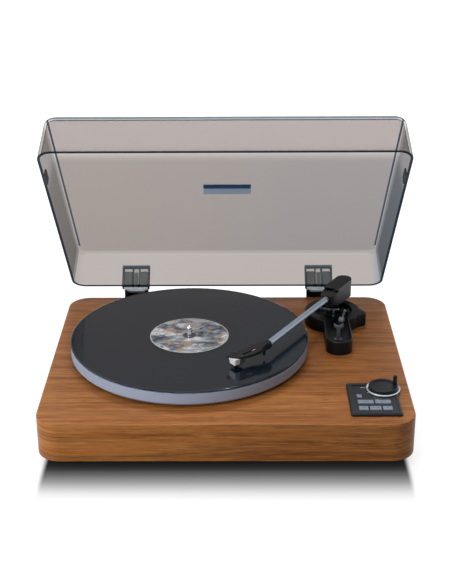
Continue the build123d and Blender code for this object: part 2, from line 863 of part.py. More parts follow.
# ---------- tonearm ----------
def arm_level(height):
    """Plane at a height above the deck, x along the tube towards the stylus."""
    return level(height, pivot_x, pivot_y, arm_heading)


forward = (cos(radians(arm_heading)), sin(radians(arm_heading)), 0)
sideways = (-forward[1], forward[0], 0)
pivot_point = (pivot_x, plinth_y + pivot_y, axis_z)
arm_side = Plane(origin=pivot_point, x_dir=forward, z_dir=(forward[1], -forward[0], 0))
arm_cross = Plane(origin=pivot_point, x_dir=sideways, z_dir=forward)
yoke_z = axis_z - housing_below - yoke_plate + 0.4
inner_half = housing_width / 2 - housing_wall
ear_half = yoke_width / 2
housing_half = housing_width / 2
back_turn = housing_half - housing_back
visor_z = housing_above - visor_thickness

with BuildPart() as arm_yoke:
    with BuildSketch(arm_level(post_bottom_z + 1)):
        Circle(arm_shaft_radius)
    extrude(amount=yoke_z - post_bottom_z - 1)
    with BuildSketch(arm_level(yoke_z)):
        RectangleRounded(yoke_length, yoke_width, 3.0)
    extrude(amount=yoke_plate)
    with BuildSketch(arm_level(yoke_z)):
        with GridLocations(0, yoke_width - yoke_thickness, 1, 2):
            Rectangle(yoke_ear_length, yoke_thickness)
    extrude(amount=axis_z - yoke_z)
    with BuildSketch(arm_side):
        Circle(yoke_ear_length / 2)
        Rectangle(yoke_ear_length, 6.0, align=(Align.CENTER, Align.MAX))
    extrude(amount=ear_half, both=True)
    with BuildSketch(arm_side):
        Rectangle(12.0, 16.0)
    extrude(amount=ear_half - yoke_thickness, both=True, mode=Mode.SUBTRACT)
    with BuildSketch(arm_side):
        Circle(trunnion_radius)
    extrude(amount=ear_half, both=True, mode=Mode.SUBTRACT)

with BuildPart() as trunnion_pins:
    with BuildSketch(arm_side.offset(ear_half - yoke_thickness)):
        Circle(trunnion_radius)
    extrude(amount=inner_half - ear_half + yoke_thickness + 0.8)
    with BuildSketch(arm_side.offset(-ear_half + yoke_thickness)):
        Circle(trunnion_radius)
    extrude(amount=-(inner_half - ear_half + yoke_thickness + 0.8))


with BuildPart() as arm_housing:
    # bullet-shaped plan: round at the back, drawn in to a nose round the tube
    with BuildSketch(arm_level(axis_z - housing_below)):
        with BuildLine():
            Line((back_turn, housing_half), (visor_front, housing_half))
            Spline(
                (visor_front, housing_half),
                (housing_front, housing_nose),
                tangents=((1, 0), (1, -1.2)),
            )
            Line((housing_front, housing_nose), (housing_front, -housing_nose))
            Spline(
                (housing_front, -housing_nose),
                (visor_front, -housing_half),
                tangents=((-1, -1.2), (-1, 0)),
            )
            Line((visor_front, -housing_half), (back_turn, -housing_half))
            ThreePointArc(
                (back_turn, -housing_half), (-housing_back, 0), (back_turn, housing_half)
            )
        make_face()
    extrude(amount=housing_below + housing_above)
    # side profile: flat roof with a visor, sloping face, nose raised at the front
    with BuildSketch(arm_side):
        with BuildLine():
            Polyline(
                (-housing_back, -housing_below),
                (-3.0, -housing_below),
                (housing_front, -housing_below + 5.5),
                (housing_front, tube_radius + 1.0),
                (visor_front - visor_recess, visor_z - 1.6),
                (visor_front - visor_recess, visor_z),
                (visor_front, visor_z),
                (visor_front, housing_above),
                (-housing_back, housing_above),
                close=True,
            )
        make_face()
    extrude(amount=housing_width, both=True, mode=Mode.INTERSECT)
    with BuildSketch(arm_level(axis_z + visor_z)):
        with Locations((visor_front + visor_arc - 1.4, 0)):
            Circle(visor_arc)
    extrude(amount=visor_thickness, mode=Mode.SUBTRACT)
    fillet(arm_housing.edges().group_by(Axis.Z)[-1], radius=0.8)
    # hollow, open below, behind the solid nose
    with BuildSketch(arm_level(axis_z - housing_below)):
        with Locations((housing_hollow_middle, 0)):
            RectangleRounded(housing_hollow, 2 * inner_half, 4.0)
    extrude(amount=housing_below + housing_above - housing_wall, mode=Mode.SUBTRACT)
    # bosses that run on the trunnion pins
    for side in (-1, 1):
        with BuildSketch(arm_side.offset(side * (ear_half + assembly_gap))):
            Circle(3.6)
        extrude(amount=side * (inner_half - ear_half - assembly_gap + 0.2))
        with BuildSketch(arm_side.offset(side * ear_half)):
            Circle(trunnion_radius + running_fit)
        extrude(amount=side * (inner_half - ear_half + 1.2), mode=Mode.SUBTRACT)
    # tube's seat through the nose
    with BuildSketch(arm_cross):
        Circle(tube_radius)
    extrude(amount=housing_front + 1, mode=Mode.SUBTRACT)

weight_front = -tube_back + 6.0
weight_top_z = axis_z + housing_above - housing_wall
with BuildPart() as counterweight:
    with BuildSketch(arm_level(axis_z - housing_below + 2)):
        with Locations((weight_front - counterweight_length / 2, 0)):
            RectangleRounded(counterweight_length, 2 * inner_half - 4, 4.0)
    extrude(amount=weight_top_z - axis_z + housing_below - 2)
    with BuildSketch(arm_cross.offset(weight_front)):
        Circle(tube_radius)
    extrude(amount=-6.0, mode=Mode.SUBTRACT)

with BuildPart() as arm_tube:
    with BuildSketch(arm_cross.offset(-tube_back)):
        Circle(tube_radius)
        Circle(tube_radius - 0.8, mode=Mode.SUBTRACT)
    extrude(amount=tube_front + tube_back)

collar_back = tube_front - 2.0
collar_front = collar_back + collar_length
with BuildPart() as arm_collar:
    with BuildSketch(arm_cross.offset(collar_back)):
        Circle(collar_radius)
    extrude(amount=collar_length)
    fillet(arm_collar.edges().filter_by(GeomType.CIRCLE), radius=0.6)
    with BuildSketch(arm_cross.offset(collar_back)):
        Circle(tube_radius)
    extrude(amount=2.0, mode=Mode.SUBTRACT)

# headshell frame: x along the headshell, from the collar's front
shell_heading = arm_heading - offset_angle
root_x, root_y = polar(pivot_x, pivot_y, collar_front, arm_heading)
shell_top_z = axis_z - shell_drop
shell_z = shell_top_z - shell_thickness       # underside that carries the cartridge
shell_low_z = shell_top_z - shell_side


def shell_level(height, along=0.0, across=0.0):
    x, y = polar(root_x, root_y, along, shell_heading)
    x, y = polar(x, y, across, shell_heading + 90)
    return level(height, x, y, shell_heading)


shell_half = shell_width / 2
rib_half = shell_half - shell_rib
root_slant = root_half * tan(radians(offset_angle))
stylus_x = stylus_reach
screw_x = stylus_x - screw_setback
shell_side_plane = Plane(
    origin=shell_level(axis_z).origin,
    x_dir=(cos(radians(shell_heading)), sin(radians(shell_heading)), 0),
    z_dir=(sin(radians(shell_heading)), -cos(radians(shell_heading)), 0),
)
with BuildPart() as headshell:
    with BuildSketch(shell_level(shell_low_z)):
        with BuildLine():
            Polyline((-root_slant, root_half), (5.0, root_half + 0.6))
            Spline(
                (5.0, root_half + 0.6),
                (20.0, shell_half),
                tangents=((1, 0), (1, 0)),
            )
            Polyline(
                (20.0, shell_half),
                (shell_corner - 3.0, shell_half - 0.4),
                (shell_corner, shell_half - 1.6),
                (shell_length, -shell_half + 3.8),
                (shell_length - 0.6, -shell_half + 2.4),
                (shell_corner + 3.0, -shell_half),
                (18.0, -shell_half),
            )
            Spline(
                (18.0, -shell_half),
                (5.0, -root_half - 0.6),
                tangents=((-1, 0), (-1, 0)),
            )
            Polyline(
                (5.0, -root_half - 0.6), (root_slant, -root_half), (-root_slant, root_half)
            )
        make_face()
    extrude(amount=shell_root - shell_low_z + axis_z)
    # top that slopes down from the collar to the plate over the cartridge
    with BuildSketch(shell_side_plane):
        with BuildLine():
            Polyline(
                (3.0, shell_root + 1),
                (3.0, shell_root),
                (shell_slope, -shell_drop),
                (shell_length + 5, -shell_drop),
                (shell_length + 5, shell_root + 1),
                close=True,
            )
        make_face()
    extrude(amount=shell_width, both=True, mode=Mode.SUBTRACT)
    # no ribs over the cartridge, and a hollow underside between them behind it
    with BuildSketch(shell_side_plane):
        with Locations((shell_rib_end, -shell_drop - shell_thickness)):
            Rectangle(shell_length, shell_side, align=(Align.MIN, Align.MAX))
    extrude(amount=shell_width, both=True, mode=Mode.SUBTRACT)
    with BuildSketch(shell_level(shell_low_z)):
        with BuildLine():
            Polyline(
                (9.0, 3.0),
                (20.0, rib_half),
                (shell_rib_end + 1, rib_half),
                (shell_rib_end + 1, -rib_half),
                (18.0, -rib_half),
                (9.0, -3.0),
                close=True,
            )
        make_face()
    extrude(amount=shell_z - shell_low_z, mode=Mode.SUBTRACT)
    # long window over the leads, and the two slots for the cartridge's screws
    with BuildSketch(shell_level(shell_z - 1)):
        with Locations((shell_window_x, 2.8)):
            SlotOverall(shell_window, shell_window_width, rotation=5)
        with Locations((screw_x, -screw_y), (screw_x, screw_y)):
            SlotOverall(6.0, screw_slot)
    extrude(amount=shell_root + 5, mode=Mode.SUBTRACT)
    # lug below the root
    with BuildSketch(shell_level(shell_low_z)):
        with Locations((6.4, 2.4)):
            RectangleRounded(4.6, 3.2, 0.8)
    extrude(amount=-shell_lug, taper=8)

body_front = stylus_x + 3.0
body_mid = body_front - cartridge_length / 2
body_z = shell_z - cartridge_height
with BuildPart() as cartridge_body:
    with BuildSketch(shell_level(shell_z)):
        with Locations((body_mid, 0)):
            RectangleRounded(cartridge_length, cartridge_width, 1.5)
    with BuildSketch(shell_level(body_z)):
        with Locations((body_mid, 0)):
            RectangleRounded(cartridge_length - 1.5, cartridge_foot_width + 1.5, 1.2)
    loft()
    # contact pins at the back
    with BuildSketch(
        Plane(
            origin=shell_level(shell_z - 3.0, body_front - cartridge_length).origin,
            x_dir=(-sin(radians(shell_heading)), cos(radians(shell_heading)), 0),
            z_dir=(-cos(radians(shell_heading)), -sin(radians(shell_heading)), 0),
        )
    ):
        with GridLocations(5.0, 3.0, 2, 2):
            Circle(0.6)
    extrude(amount=4.0)

holder_z = body_z - holder_height
tip_point_z = groove_z + stylus_gap
with BuildPart() as stylus_holder:
    with BuildSketch(shell_level(body_z)):
        with Locations((body_mid + 1.5, 0)):
            RectangleRounded(cartridge_length - 4.5, cartridge_foot_width, 1.2)
    with BuildSketch(shell_level(holder_z)):
        with Locations((body_mid + 2.5, 0)):
            RectangleRounded(cartridge_length - 9.0, cartridge_foot_width - 3.0, 1.2)
    loft()

with BuildPart() as stylus:
    # thin cantilever and its tip
    with BuildSketch(shell_level(holder_z, stylus_x)):
        Circle(0.9)
    with BuildSketch(shell_level(tip_point_z, stylus_x)):
        Circle(0.25)
    loft()

with BuildPart() as cartridge_screws:
    with BuildSketch(shell_level(shell_top_z)):
        with Locations((screw_x, -screw_y), (screw_x, screw_y)):
            Circle(2.0)
    extrude(amount=0.8)
    with BuildSketch(shell_level(shell_top_z)):
        with Locations((screw_x, -screw_y), (screw_x, screw_y)):
            Circle(screw_slot / 2)
    extrude(amount=-shell_thickness)

# ---------- control panel ----------
panel_top_z = deck_z + panel_height
tray_floor_z = panel_top_z - panel_recess
board_z = deck_z - panel_skirt
cap_top_z = tray_floor_z + button_rise
cap_bottom_z = board_z + board_thickness + button_travel + 1.0


def button_row(widths, y, depth):
    """Places and sizes of a row of caps that starts at the row's left end."""
    places = []
    left = panel_x - button_row_offset
    for width in widths:
        places.append((left + width / 2, y, width, depth))
        left += width + button_gap
    return places


front_row = button_row(front_row_widths, panel_y - front_row_offset, front_row_depth)
middle_row = button_row(middle_row_widths, panel_y - middle_row_offset, middle_row_depth)
single_row = button_row((single_width,), panel_y + single_row_offset, single_depth)
button_names = (
    "button_front_left", "button_front_middle", "button_front_right",
    "button_middle_left", "button_middle_right", "button_single",
)
button_places = dict(zip(button_names, front_row + middle_row + single_row))
tray_left = panel_x - panel_width / 2 + panel_rim
tray_right = panel_x + panel_width / 2 - panel_bevel - 2.0
tray_front = panel_y - panel_depth / 2 + panel_front_rim
tray_back = panel_y + panel_depth / 2 - panel_rim

with BuildPart() as panel_housing:
    with BuildSketch(level(deck_z)):
        with Locations((panel_x, panel_y)):
            RectangleRounded(panel_width, panel_depth, panel_corner)
        with Locations((selector_x, selector_y)):
            Circle(selector_radius - 1.0)
    extrude(amount=panel_height)
    chamfer(panel_housing.edges().group_by(Axis.Z)[-1], length=panel_bevel)
    with BuildSketch(level(panel_top_z)):
        with Locations(((tray_left + tray_right) / 2, (tray_front + tray_back) / 2)):
            RectangleRounded(tray_right - tray_left, tray_back - tray_front, 1.0)
        with Locations((selector_x, selector_y)):
            Circle(selector_radius - ring_lip)
    extrude(amount=-panel_recess, mode=Mode.SUBTRACT)
    # walled tray that drops through the deck
    with BuildSketch(level(deck_z, panel_x, panel_y)):
        Rectangle(panel_tray_width, panel_tray_depth)
        Rectangle(
            panel_tray_width - 2 * panel_skirt_wall,
            panel_tray_depth - 2 * panel_skirt_wall,
            mode=Mode.SUBTRACT,
        )
    extrude(amount=-panel_skirt)
    with BuildSketch(level(board_z)):
        for x, y, width, depth in button_places.values():
            with Locations((x, y)):
                Rectangle(width + 2 * button_clearance, depth + 2 * button_clearance)
        with Locations((selector_x, selector_y)):
            Circle(knob_shaft_radius + running_fit)
    extrude(amount=panel_top_z - board_z, mode=Mode.SUBTRACT)

with BuildPart() as panel_board:
    with BuildSketch(level(board_z, panel_x, panel_y)):
        Rectangle(
            panel_tray_width - 2 * panel_skirt_wall, panel_tray_depth - 2 * panel_skirt_wall
        )
    extrude(amount=board_thickness)
    # a switch below each cap
    with BuildSketch(level(board_z + board_thickness)):
        with Locations(*[(x, y) for x, y, width, depth in button_places.values()]):
            Rectangle(5.0, 5.0)
    extrude(amount=0.9)


def make_button(x, y, width, depth):
    """Key cap with a softened top edge, on the stem that meets its switch."""
    with BuildPart() as button:
        with BuildSketch(level(cap_bottom_z, x, y)):
            Rectangle(width, depth)
        extrude(amount=cap_top_z - cap_bottom_z)
        chamfer(button.edges().group_by(Axis.Z)[-1], length=0.5)
    return button


buttons = {name: make_button(*place) for name, place in button_places.items()}

ring_top_z = panel_top_z + 1.6
with BuildPart() as selector_ring:
    with BuildSketch(section(selector_x, selector_y)):
        with BuildLine():
            Polyline(
                (knob_radius - 3.0, tray_floor_z),
                (selector_radius - ring_lip, tray_floor_z),
                (selector_radius - ring_lip, panel_top_z),
                (selector_radius, panel_top_z),
                (selector_radius, ring_top_z - 0.8),
                (selector_radius - 0.8, ring_top_z),
                (knob_radius + assembly_gap, ring_top_z - 0.4),
                (knob_radius + assembly_gap, tray_floor_z + 0.8),
                (knob_radius - 3.0, tray_floor_z + 0.8),
                close=True,
            )
        make_face()
    revolve(axis=upright_axis(selector_x, selector_y))

knob_z = tray_floor_z + 0.8 + assembly_gap
knob_top_z = knob_z + knob_height
with BuildPart() as selector_knob:
    with BuildSketch(level(knob_z, selector_x, selector_y)):
        Circle(knob_radius)
    extrude(amount=knob_height)
    fillet(selector_knob.edges().group_by(Axis.Z)[-1], radius=1.2)
    with BuildSketch(level(knob_top_z, selector_x, selector_y)):
        Circle(knob_dish_radius)
    extrude(amount=-knob_dish_depth, mode=Mode.SUBTRACT)
    # upright tab at its rim
    with BuildSketch(level(knob_z, selector_x, selector_y, knob_tab_bearing)):
        with Locations((knob_radius - knob_tab_depth / 2 - 0.2, 0)):
            RectangleRounded(knob_tab_depth, knob_tab_width, 1.2)
    extrude(amount=knob_height + knob_tab_height)
    fillet(selector_knob.edges().group_by(Axis.Z)[-1], radius=0.8)
    with BuildSketch(level(knob_z, selector_x, selector_y)):
        Circle(knob_shaft_radius)
    extrude(amount=board_z + board_thickness + assembly_gap - knob_z)

# ---------- lid and hinges ----------
lid_plane = Plane(
    origin=(0, hinge_y, hinge_z), x_dir=(1, 0, 0), z_dir=(0, sin(open_tilt), cos(open_tilt))
)
lid_middle_y = rim_y - lid_depth / 2
hinge_xs = (-hinge_spacing / 2, hinge_spacing / 2)


def lid_side(x):
    """Plane across the lid: sketch x points back, sketch y out of the closed lid."""
    return Plane(
        origin=(x, hinge_y, hinge_z), x_dir=lid_plane.y_dir, z_dir=(1, 0, 0)
    )


draft = lid_draft / lid_height
socket_back = rim_y + socket_depth
socket_mid_y = rim_y + socket_depth / 2
leaf_top = rim_z + leaf_reach
bay_width = (socket_width - 2 * socket_wall - socket_middle - 2 * socket_rib) / 2
bay_shift = (socket_middle + bay_width) / 2 + socket_rib
bays = ((-bay_shift, bay_width), (0, socket_middle), (bay_shift, bay_width))
bay_depth = leaf_thickness + 2 * leaf_clearance

def lid_end(face):
    """How far out of the closed lid a face lies."""
    return face.center().dot(lid_plane.z_dir)


def make_drafted_box(inset, bottom, top):
    """Rounded box whose sides lean in as the lid's do, inset from its outside."""
    low_lean = draft * (bottom - rim_z) + inset
    high_lean = draft * (top - rim_z) + inset
    with BuildPart() as box:
        with BuildSketch(lid_plane.offset(bottom)):
            with Locations((0, lid_middle_y)):
                RectangleRounded(
                    lid_width - 2 * low_lean, lid_depth - 2 * low_lean, lid_corner - inset
                )
        with BuildSketch(lid_plane.offset(top)):
            with Locations((0, lid_middle_y)):
                RectangleRounded(
                    lid_width - 2 * high_lean,
                    lid_depth - 2 * high_lean,
                    lid_corner - inset - lid_draft / 2,
                )
        loft()
        top_face = box.faces().filter_by(GeomType.PLANE).sort_by(lid_end)[-1]
        fillet(top_face.edges(), radius=lid_top_edge - inset)
    return box


lid_hollow = make_drafted_box(lid_wall, rim_z - lid_wall, rim_z + lid_height - lid_wall)

with BuildPart() as lid:
    add(make_drafted_box(0, rim_z, rim_z + lid_height).part)
    add(lid_hollow.part, mode=Mode.SUBTRACT)
    # hinge sockets behind the back wall
    for hinge_x in hinge_xs:
        with BuildSketch(lid_side(hinge_x)):
            with BuildLine():
                Polyline(
                    (rim_y - lid_wall / 2, rim_z),
                    (rim_y - lid_wall / 2 - socket_height * draft, rim_z + socket_height),
                    (socket_back, rim_z + socket_height),
                    (socket_back, rim_z),
                    close=True,
                )
            make_face()
        extrude(amount=socket_width / 2, both=True)
        with BuildSketch(lid_plane.offset(rim_z)):
            for shift, width in bays:
                with Locations((hinge_x + shift, socket_mid_y)):
                    Rectangle(width, bay_depth)
        extrude(amount=socket_height - socket_wall, mode=Mode.SUBTRACT)

with BuildPart() as hinge_leaves:
    for hinge_x in hinge_xs:
        # knuckle and the web that passes below the lid's rim
        with BuildSketch(lid_side(hinge_x)):
            Circle(knuckle_radius)
            with BuildLine():
                Polyline(
                    (socket_mid_y - leaf_thickness / 2, rim_z - 2.6),
                    (socket_mid_y - leaf_thickness / 2, rim_z - leaf_clearance),
                    (-knuckle_radius + 1.0, rim_z - leaf_clearance),
                    (0, knuckle_radius - 2.0),
                    (0, rim_z + 1.2),
                    (-knuckle_radius + 1.5, rim_z - 2.6),
                    close=True,
                )
            make_face()
            Circle(hinge_pin_radius + running_fit, mode=Mode.SUBTRACT)
        extrude(amount=bracket_width / 2 - ear_thickness - leaf_clearance, both=True)
        # tongues in the lid's sockets
        with BuildSketch(lid_plane.offset(rim_z - 2.6)):
            with Locations((hinge_x, socket_mid_y)):
                Rectangle(bracket_width - 0.4, leaf_thickness)
        extrude(amount=2.6 - leaf_clearance)
        with BuildSketch(lid_plane.offset(rim_z - leaf_clearance)):
            for shift, width in (bays[0], bays[2]):
                with Locations((hinge_x + shift, socket_mid_y)):
                    Rectangle(width - 2 * leaf_clearance, leaf_thickness)
        extrude(amount=leaf_top - rim_z + leaf_clearance)
        with BuildSketch(lid_plane.offset(rim_z - leaf_clearance)):
            with Locations((hinge_x, socket_mid_y)):
                Rectangle(socket_middle - 2.0, leaf_thickness)
        extrude(amount=leaf_top - rim_z - 1.0)

# soft pads inside the side walls, which meet the deck when the lid is closed
bumper_front = lid_plane.location * Plane(
    origin=(0, rim_y - bumper_from_back, rim_z), x_dir=(1, 0, 0), z_dir=(0, -1, 0)
).location
with BuildPart() as lid_bumpers:
    for side in (-1, 1):
        wall_x = side * (lid_width / 2 - lid_wall)
        with BuildSketch(Plane(bumper_front)):
            with BuildLine():
                Polyline(
                    (wall_x, bumper_rest - lid_rest_gap),
                    (wall_x, 0),
                    (wall_x - side * draft * bumper_height, bumper_height),
                    (wall_x - side * bumper_thickness, bumper_height),
                    (wall_x - side * bumper_thickness, bumper_rest - lid_rest_gap),
                    close=True,
                )
            make_face()
        extrude(amount=bumper_length)

ear_offset = (bracket_width - ear_thickness) / 2
ear_low = hinge_above + bracket_drop


def make_bracket(hinge_x):
    """Plate screwed to the plinth's back, with two ears that hold the hinge pin."""
    back = Plane(origin=(hinge_x, hinge_y, hinge_z), x_dir=(0, 1, 0), z_dir=(1, 0, 0))
    with BuildPart() as bracket:
        with BuildSketch(back):
            with Locations((-hinge_behind, -ear_low)):
                Rectangle(
                    bracket_plate,
                    bracket_drop - bracket_top_gap,
                    align=(Align.MIN, Align.MIN),
                )
            with Locations((ear_radius, -knuckle_radius - bracket_web_gap)):
                Rectangle(
                    bracket_plate + 1,
                    bracket_drop / 2,
                    align=(Align.MAX, Align.MAX),
                )
        extrude(amount=bracket_width / 2, both=True)
        for side in (-1, 1):
            with BuildSketch(back.offset(side * ear_offset - ear_thickness / 2)):
                with BuildLine():
                    Polyline(
                        (-hinge_behind, -ear_low + 2.0),
                        (-hinge_behind, -hinge_above - 2.0),
                        (-ear_radius, -hinge_above - 2.0),
                        (-ear_radius, 0),
                        (ear_radius, 0),
                        (ear_radius, -ear_low + 12.0),
                        (-hinge_behind + bracket_plate, -ear_low + 2.0),
                        close=True,
                    )
                make_face()
                Circle(ear_radius)
                Circle(hinge_pin_radius, mode=Mode.SUBTRACT)
            extrude(amount=ear_thickness)
    return bracket


hinge_brackets = {
    "hinge_bracket_left": make_bracket(hinge_xs[0]),
    "hinge_bracket_right": make_bracket(hinge_xs[1]),
}

with BuildPart() as hinge_pins:
    for hinge_x in hinge_xs:
        with BuildSketch(Plane(origin=(hinge_x, hinge_y, hinge_z), z_dir=(1, 0, 0))):
            Circle(hinge_pin_radius)
        extrude(amount=bracket_width / 2 + 0.8, both=True)

# ---------- jacks at the back ----------
jack_places = {"line": -30.0, "dc": 28.0, "switch": 6.0}
rca_xs = (jack_places["line"] - rca_spacing / 2, jack_places["line"] + rca_spacing / 2)

with BuildPart() as jack_plate:
    with BuildSketch(jack_face):
        RectangleRounded(jack_plate_width, jack_plate_height, 2.0)
        with Locations(*[(x, 0) for x in rca_xs]):
            Circle(rca_radius, mode=Mode.SUBTRACT)
        with Locations((jack_places["dc"], 0)):
            Circle(dc_radius, mode=Mode.SUBTRACT)
        with Locations((jack_places["switch"], 0)):
            Rectangle(switch_travel + 5.0, 4.0, mode=Mode.SUBTRACT)
    extrude(amount=jack_plate_thickness)

rca_face = jack_face.offset(jack_plate_thickness)
with BuildPart() as rca_jacks:
    for x in rca_xs:
        with BuildSketch(jack_face.offset(-6.0)):
            with Locations((x, 0)):
                Circle(rca_radius)
        extrude(amount=6.0 + jack_plate_thickness + rca_length)
        with BuildSketch(rca_face):
            with Locations((x, 0)):
                Circle(rca_flange_radius)
        extrude(amount=1.2)
        with BuildSketch(rca_face.offset(rca_length)):
            with Locations((x, 0)):
                Circle(rca_radius - 0.6)
        extrude(amount=-rca_length + 1.5, mode=Mode.SUBTRACT)
        with BuildSketch(rca_face.offset(rca_length)):
            with Locations((x, 0)):
                Circle(3.0)
                Circle(1.6, mode=Mode.SUBTRACT)
        extrude(amount=-rca_length + 1.5)

with BuildPart() as dc_jack:
    with BuildSketch(jack_face.offset(-8.0)):
        with Locations((jack_places["dc"], 0)):
            Circle(dc_radius)
    extrude(amount=8.0 + jack_plate_thickness)
    with BuildSketch(rca_face):
        with Locations((jack_places["dc"], 0)):
            Circle(dc_bore)
            Circle(1.0, mode=Mode.SUBTRACT)
    extrude(amount=-8.0, mode=Mode.SUBTRACT)

with BuildPart() as line_switch:
    with BuildSketch(jack_face.offset(-3.0)):
        with Locations((jack_places["switch"] - switch_travel / 2, 0)):
            Rectangle(4.4, 3.4)
    extrude(amount=3.0 + jack_plate_thickness + 2.0)

with BuildPart() as main_board:
    with BuildSketch(level(cover_top_z + main_board_rise, jack_plate_x, board_y)):
        Rectangle(main_board_width, main_board_depth)
    extrude(amount=board_thickness)
    # capacitors, the amplifier and the terminals under the jacks
    with BuildSketch(level(cover_top_z + main_board_rise + board_thickness, jack_plate_x, board_y)):
        with Locations((-34.0, -14.0), (-20.0, -14.0)):
            Circle(5.0)
        with Locations((20.0, -10.0)):
            Rectangle(18.0, 12.0)
    extrude(amount=9.0)

# ---------- files ----------
os.makedirs("parts", exist_ok=True)
pieces = {
    "plinth": plinth,
    "bottom_cover": bottom_cover,
    "bottom_screws": bottom_screws,
    **feet,
    "foot_screws": foot_screws,
    "bearing_housing": bearing_housing,
    "bearing_bush": bearing_bush,
    "thrust_ball": thrust_ball,
    "spindle": spindle,
    "platter": platter,
    "platter_mat": platter_mat,
    "record_disc": record_disc,
    "record_label": record_label,
    "motor_mount": motor_mount,
    "motor": motor,
    "motor_shaft": motor_shaft,
    "motor_pulley": motor_pulley,
    "drive_belt": drive_belt,
    "arm_base": arm_base,
    "deck_screws": deck_screws,
    "arm_post": arm_post,
    "arm_rest": arm_rest,
    "lift_guide": lift_guide,
    "lift_bar": lift_bar,
    "cue_lever": cue_lever,
    "arm_yoke": arm_yoke,
    "trunnion_pins": trunnion_pins,
    "arm_housing": arm_housing,
    "counterweight": counterweight,
    "arm_tube": arm_tube,
    "arm_collar": arm_collar,
    "headshell": headshell,
    "cartridge_body": cartridge_body,
    "stylus_holder": stylus_holder,
    "stylus": stylus,
    "cartridge_screws": cartridge_screws,
    "panel_housing": panel_housing,
    "panel_board": panel_board,
    **buttons,
    "selector_ring": selector_ring,
    "selector_knob": selector_knob,
    "lid": lid,
    "lid_bumpers": lid_bumpers,
    "hinge_leaves": hinge_leaves,
    **hinge_brackets,
    "hinge_pins": hinge_pins,
    "jack_plate": jack_plate,
    "rca_jacks": rca_jacks,
    "dc_jack": dc_jack,
    "line_switch": line_switch,
    "main_board": main_board,
}
for name, piece in pieces.items():
    piece.part.label = name
    export_step(piece.part, f"parts/{name}.step")
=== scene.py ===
import bpy
import bmesh
import json
import math
from mathutils import Matrix, Vector


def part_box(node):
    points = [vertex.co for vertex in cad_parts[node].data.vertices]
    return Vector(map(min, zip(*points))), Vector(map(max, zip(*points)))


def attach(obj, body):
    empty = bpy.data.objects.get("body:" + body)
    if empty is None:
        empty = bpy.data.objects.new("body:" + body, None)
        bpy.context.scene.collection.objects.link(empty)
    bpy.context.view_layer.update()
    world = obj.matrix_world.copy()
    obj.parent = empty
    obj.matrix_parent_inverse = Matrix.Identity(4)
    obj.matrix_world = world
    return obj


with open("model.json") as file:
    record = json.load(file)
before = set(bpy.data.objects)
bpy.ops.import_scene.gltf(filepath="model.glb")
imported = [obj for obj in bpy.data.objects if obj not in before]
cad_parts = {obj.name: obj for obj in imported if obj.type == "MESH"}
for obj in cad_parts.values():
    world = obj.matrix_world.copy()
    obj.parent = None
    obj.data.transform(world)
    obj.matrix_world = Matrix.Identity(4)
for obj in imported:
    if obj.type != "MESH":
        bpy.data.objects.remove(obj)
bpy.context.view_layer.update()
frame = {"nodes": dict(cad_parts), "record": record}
nodes = frame["nodes"]
print("frame loaded:", len(nodes), "nodes")


# colours are written as sRGB, 0 to 255
def linear(rgb):
    out = []
    for value in rgb:
        value = value / 255
        out.append(value / 12.92 if value <= 0.04045 else ((value + 0.055) / 1.055) ** 2.4)
    return (*out, 1.0)


def newGroup(name, inputs, outputs):
    group = bpy.data.node_groups.new(name, "ShaderNodeTree")
    for kind, label, value in inputs:
        socket = group.interface.new_socket(name=label, in_out="INPUT", socket_type=kind)
        if value is not None:
            socket.default_value = value
    for kind, label in outputs:
        group.interface.new_socket(name=label, in_out="OUTPUT", socket_type=kind)
    return group, group.nodes.new("NodeGroupInput"), group.nodes.new("NodeGroupOutput")


def mathNode(tree, operation, *values, clamp=False):
    node = tree.nodes.new("ShaderNodeMath")
    node.operation = operation
    node.use_clamp = clamp
    for index, value in enumerate(values):
        if isinstance(value, (int, float)):
            node.inputs[index].default_value = value
        else:
            tree.links.new(value, node.inputs[index])
    return node.outputs[0]


def mixColor(tree, factor, a, b, blend="MIX"):
    node = tree.nodes.new("ShaderNodeMix")
    node.data_type = "RGBA"
    node.blend_type = blend
    for socket, value in ((node.inputs[0], factor), (node.inputs[6], a), (node.inputs[7], b)):
        if isinstance(value, (int, float, tuple)):
            socket.default_value = value
        else:
            tree.links.new(value, socket)
    return node.outputs[2]


def ramp(tree, factor, stops):
    node = tree.nodes.new("ShaderNodeValToRGB")
    while len(node.color_ramp.elements) < len(stops):
        node.color_ramp.elements.new(0.5)
    for element, (position, color) in zip(node.color_ramp.elements, stops):
        element.position = position
        element.color = color if isinstance(color, tuple) else (color, color, color, 1.0)
    tree.links.new(factor, node.inputs[0])
    return node.outputs[0]


def noise(tree, vector, scale=1.0, detail=3.0, rough=0.5, distortion=0.0):
    node = tree.nodes.new("ShaderNodeTexNoise")
    node.inputs["Scale"].default_value = scale
    node.inputs["Detail"].default_value = detail
    node.inputs["Roughness"].default_value = rough
    node.inputs["Distortion"].default_value = distortion
    tree.links.new(vector, node.inputs["Vector"])
    return node.outputs["Fac"]


def vectorMath(tree, operation, *values):
    node = tree.nodes.new("ShaderNodeVectorMath")
    node.operation = operation
    for index, value in enumerate(values):
        if isinstance(value, tuple):
            node.inputs[index].default_value = value
        else:
            tree.links.new(value, node.inputs[index])
    return node.outputs


def separate(tree, vector):
    node = tree.nodes.new("ShaderNodeSeparateXYZ")
    tree.links.new(vector, node.inputs[0])
    return node.outputs


def stretched(tree, vector, location=(0, 0, 0), scale=(1, 1, 1)):
    node = tree.nodes.new("ShaderNodeMapping")
    node.inputs["Location"].default_value = location
    node.inputs["Scale"].default_value = scale
    tree.links.new(vector, node.inputs["Vector"])
    return node.outputs[0]


def along(tree, vector, direction, origin):
    # distance from origin in one direction
    reach = vectorMath(tree, "DOT_PRODUCT", vector, tuple(direction))["Value"]
    return mathNode(tree, "SUBTRACT", reach, Vector(direction).dot(Vector(origin)))


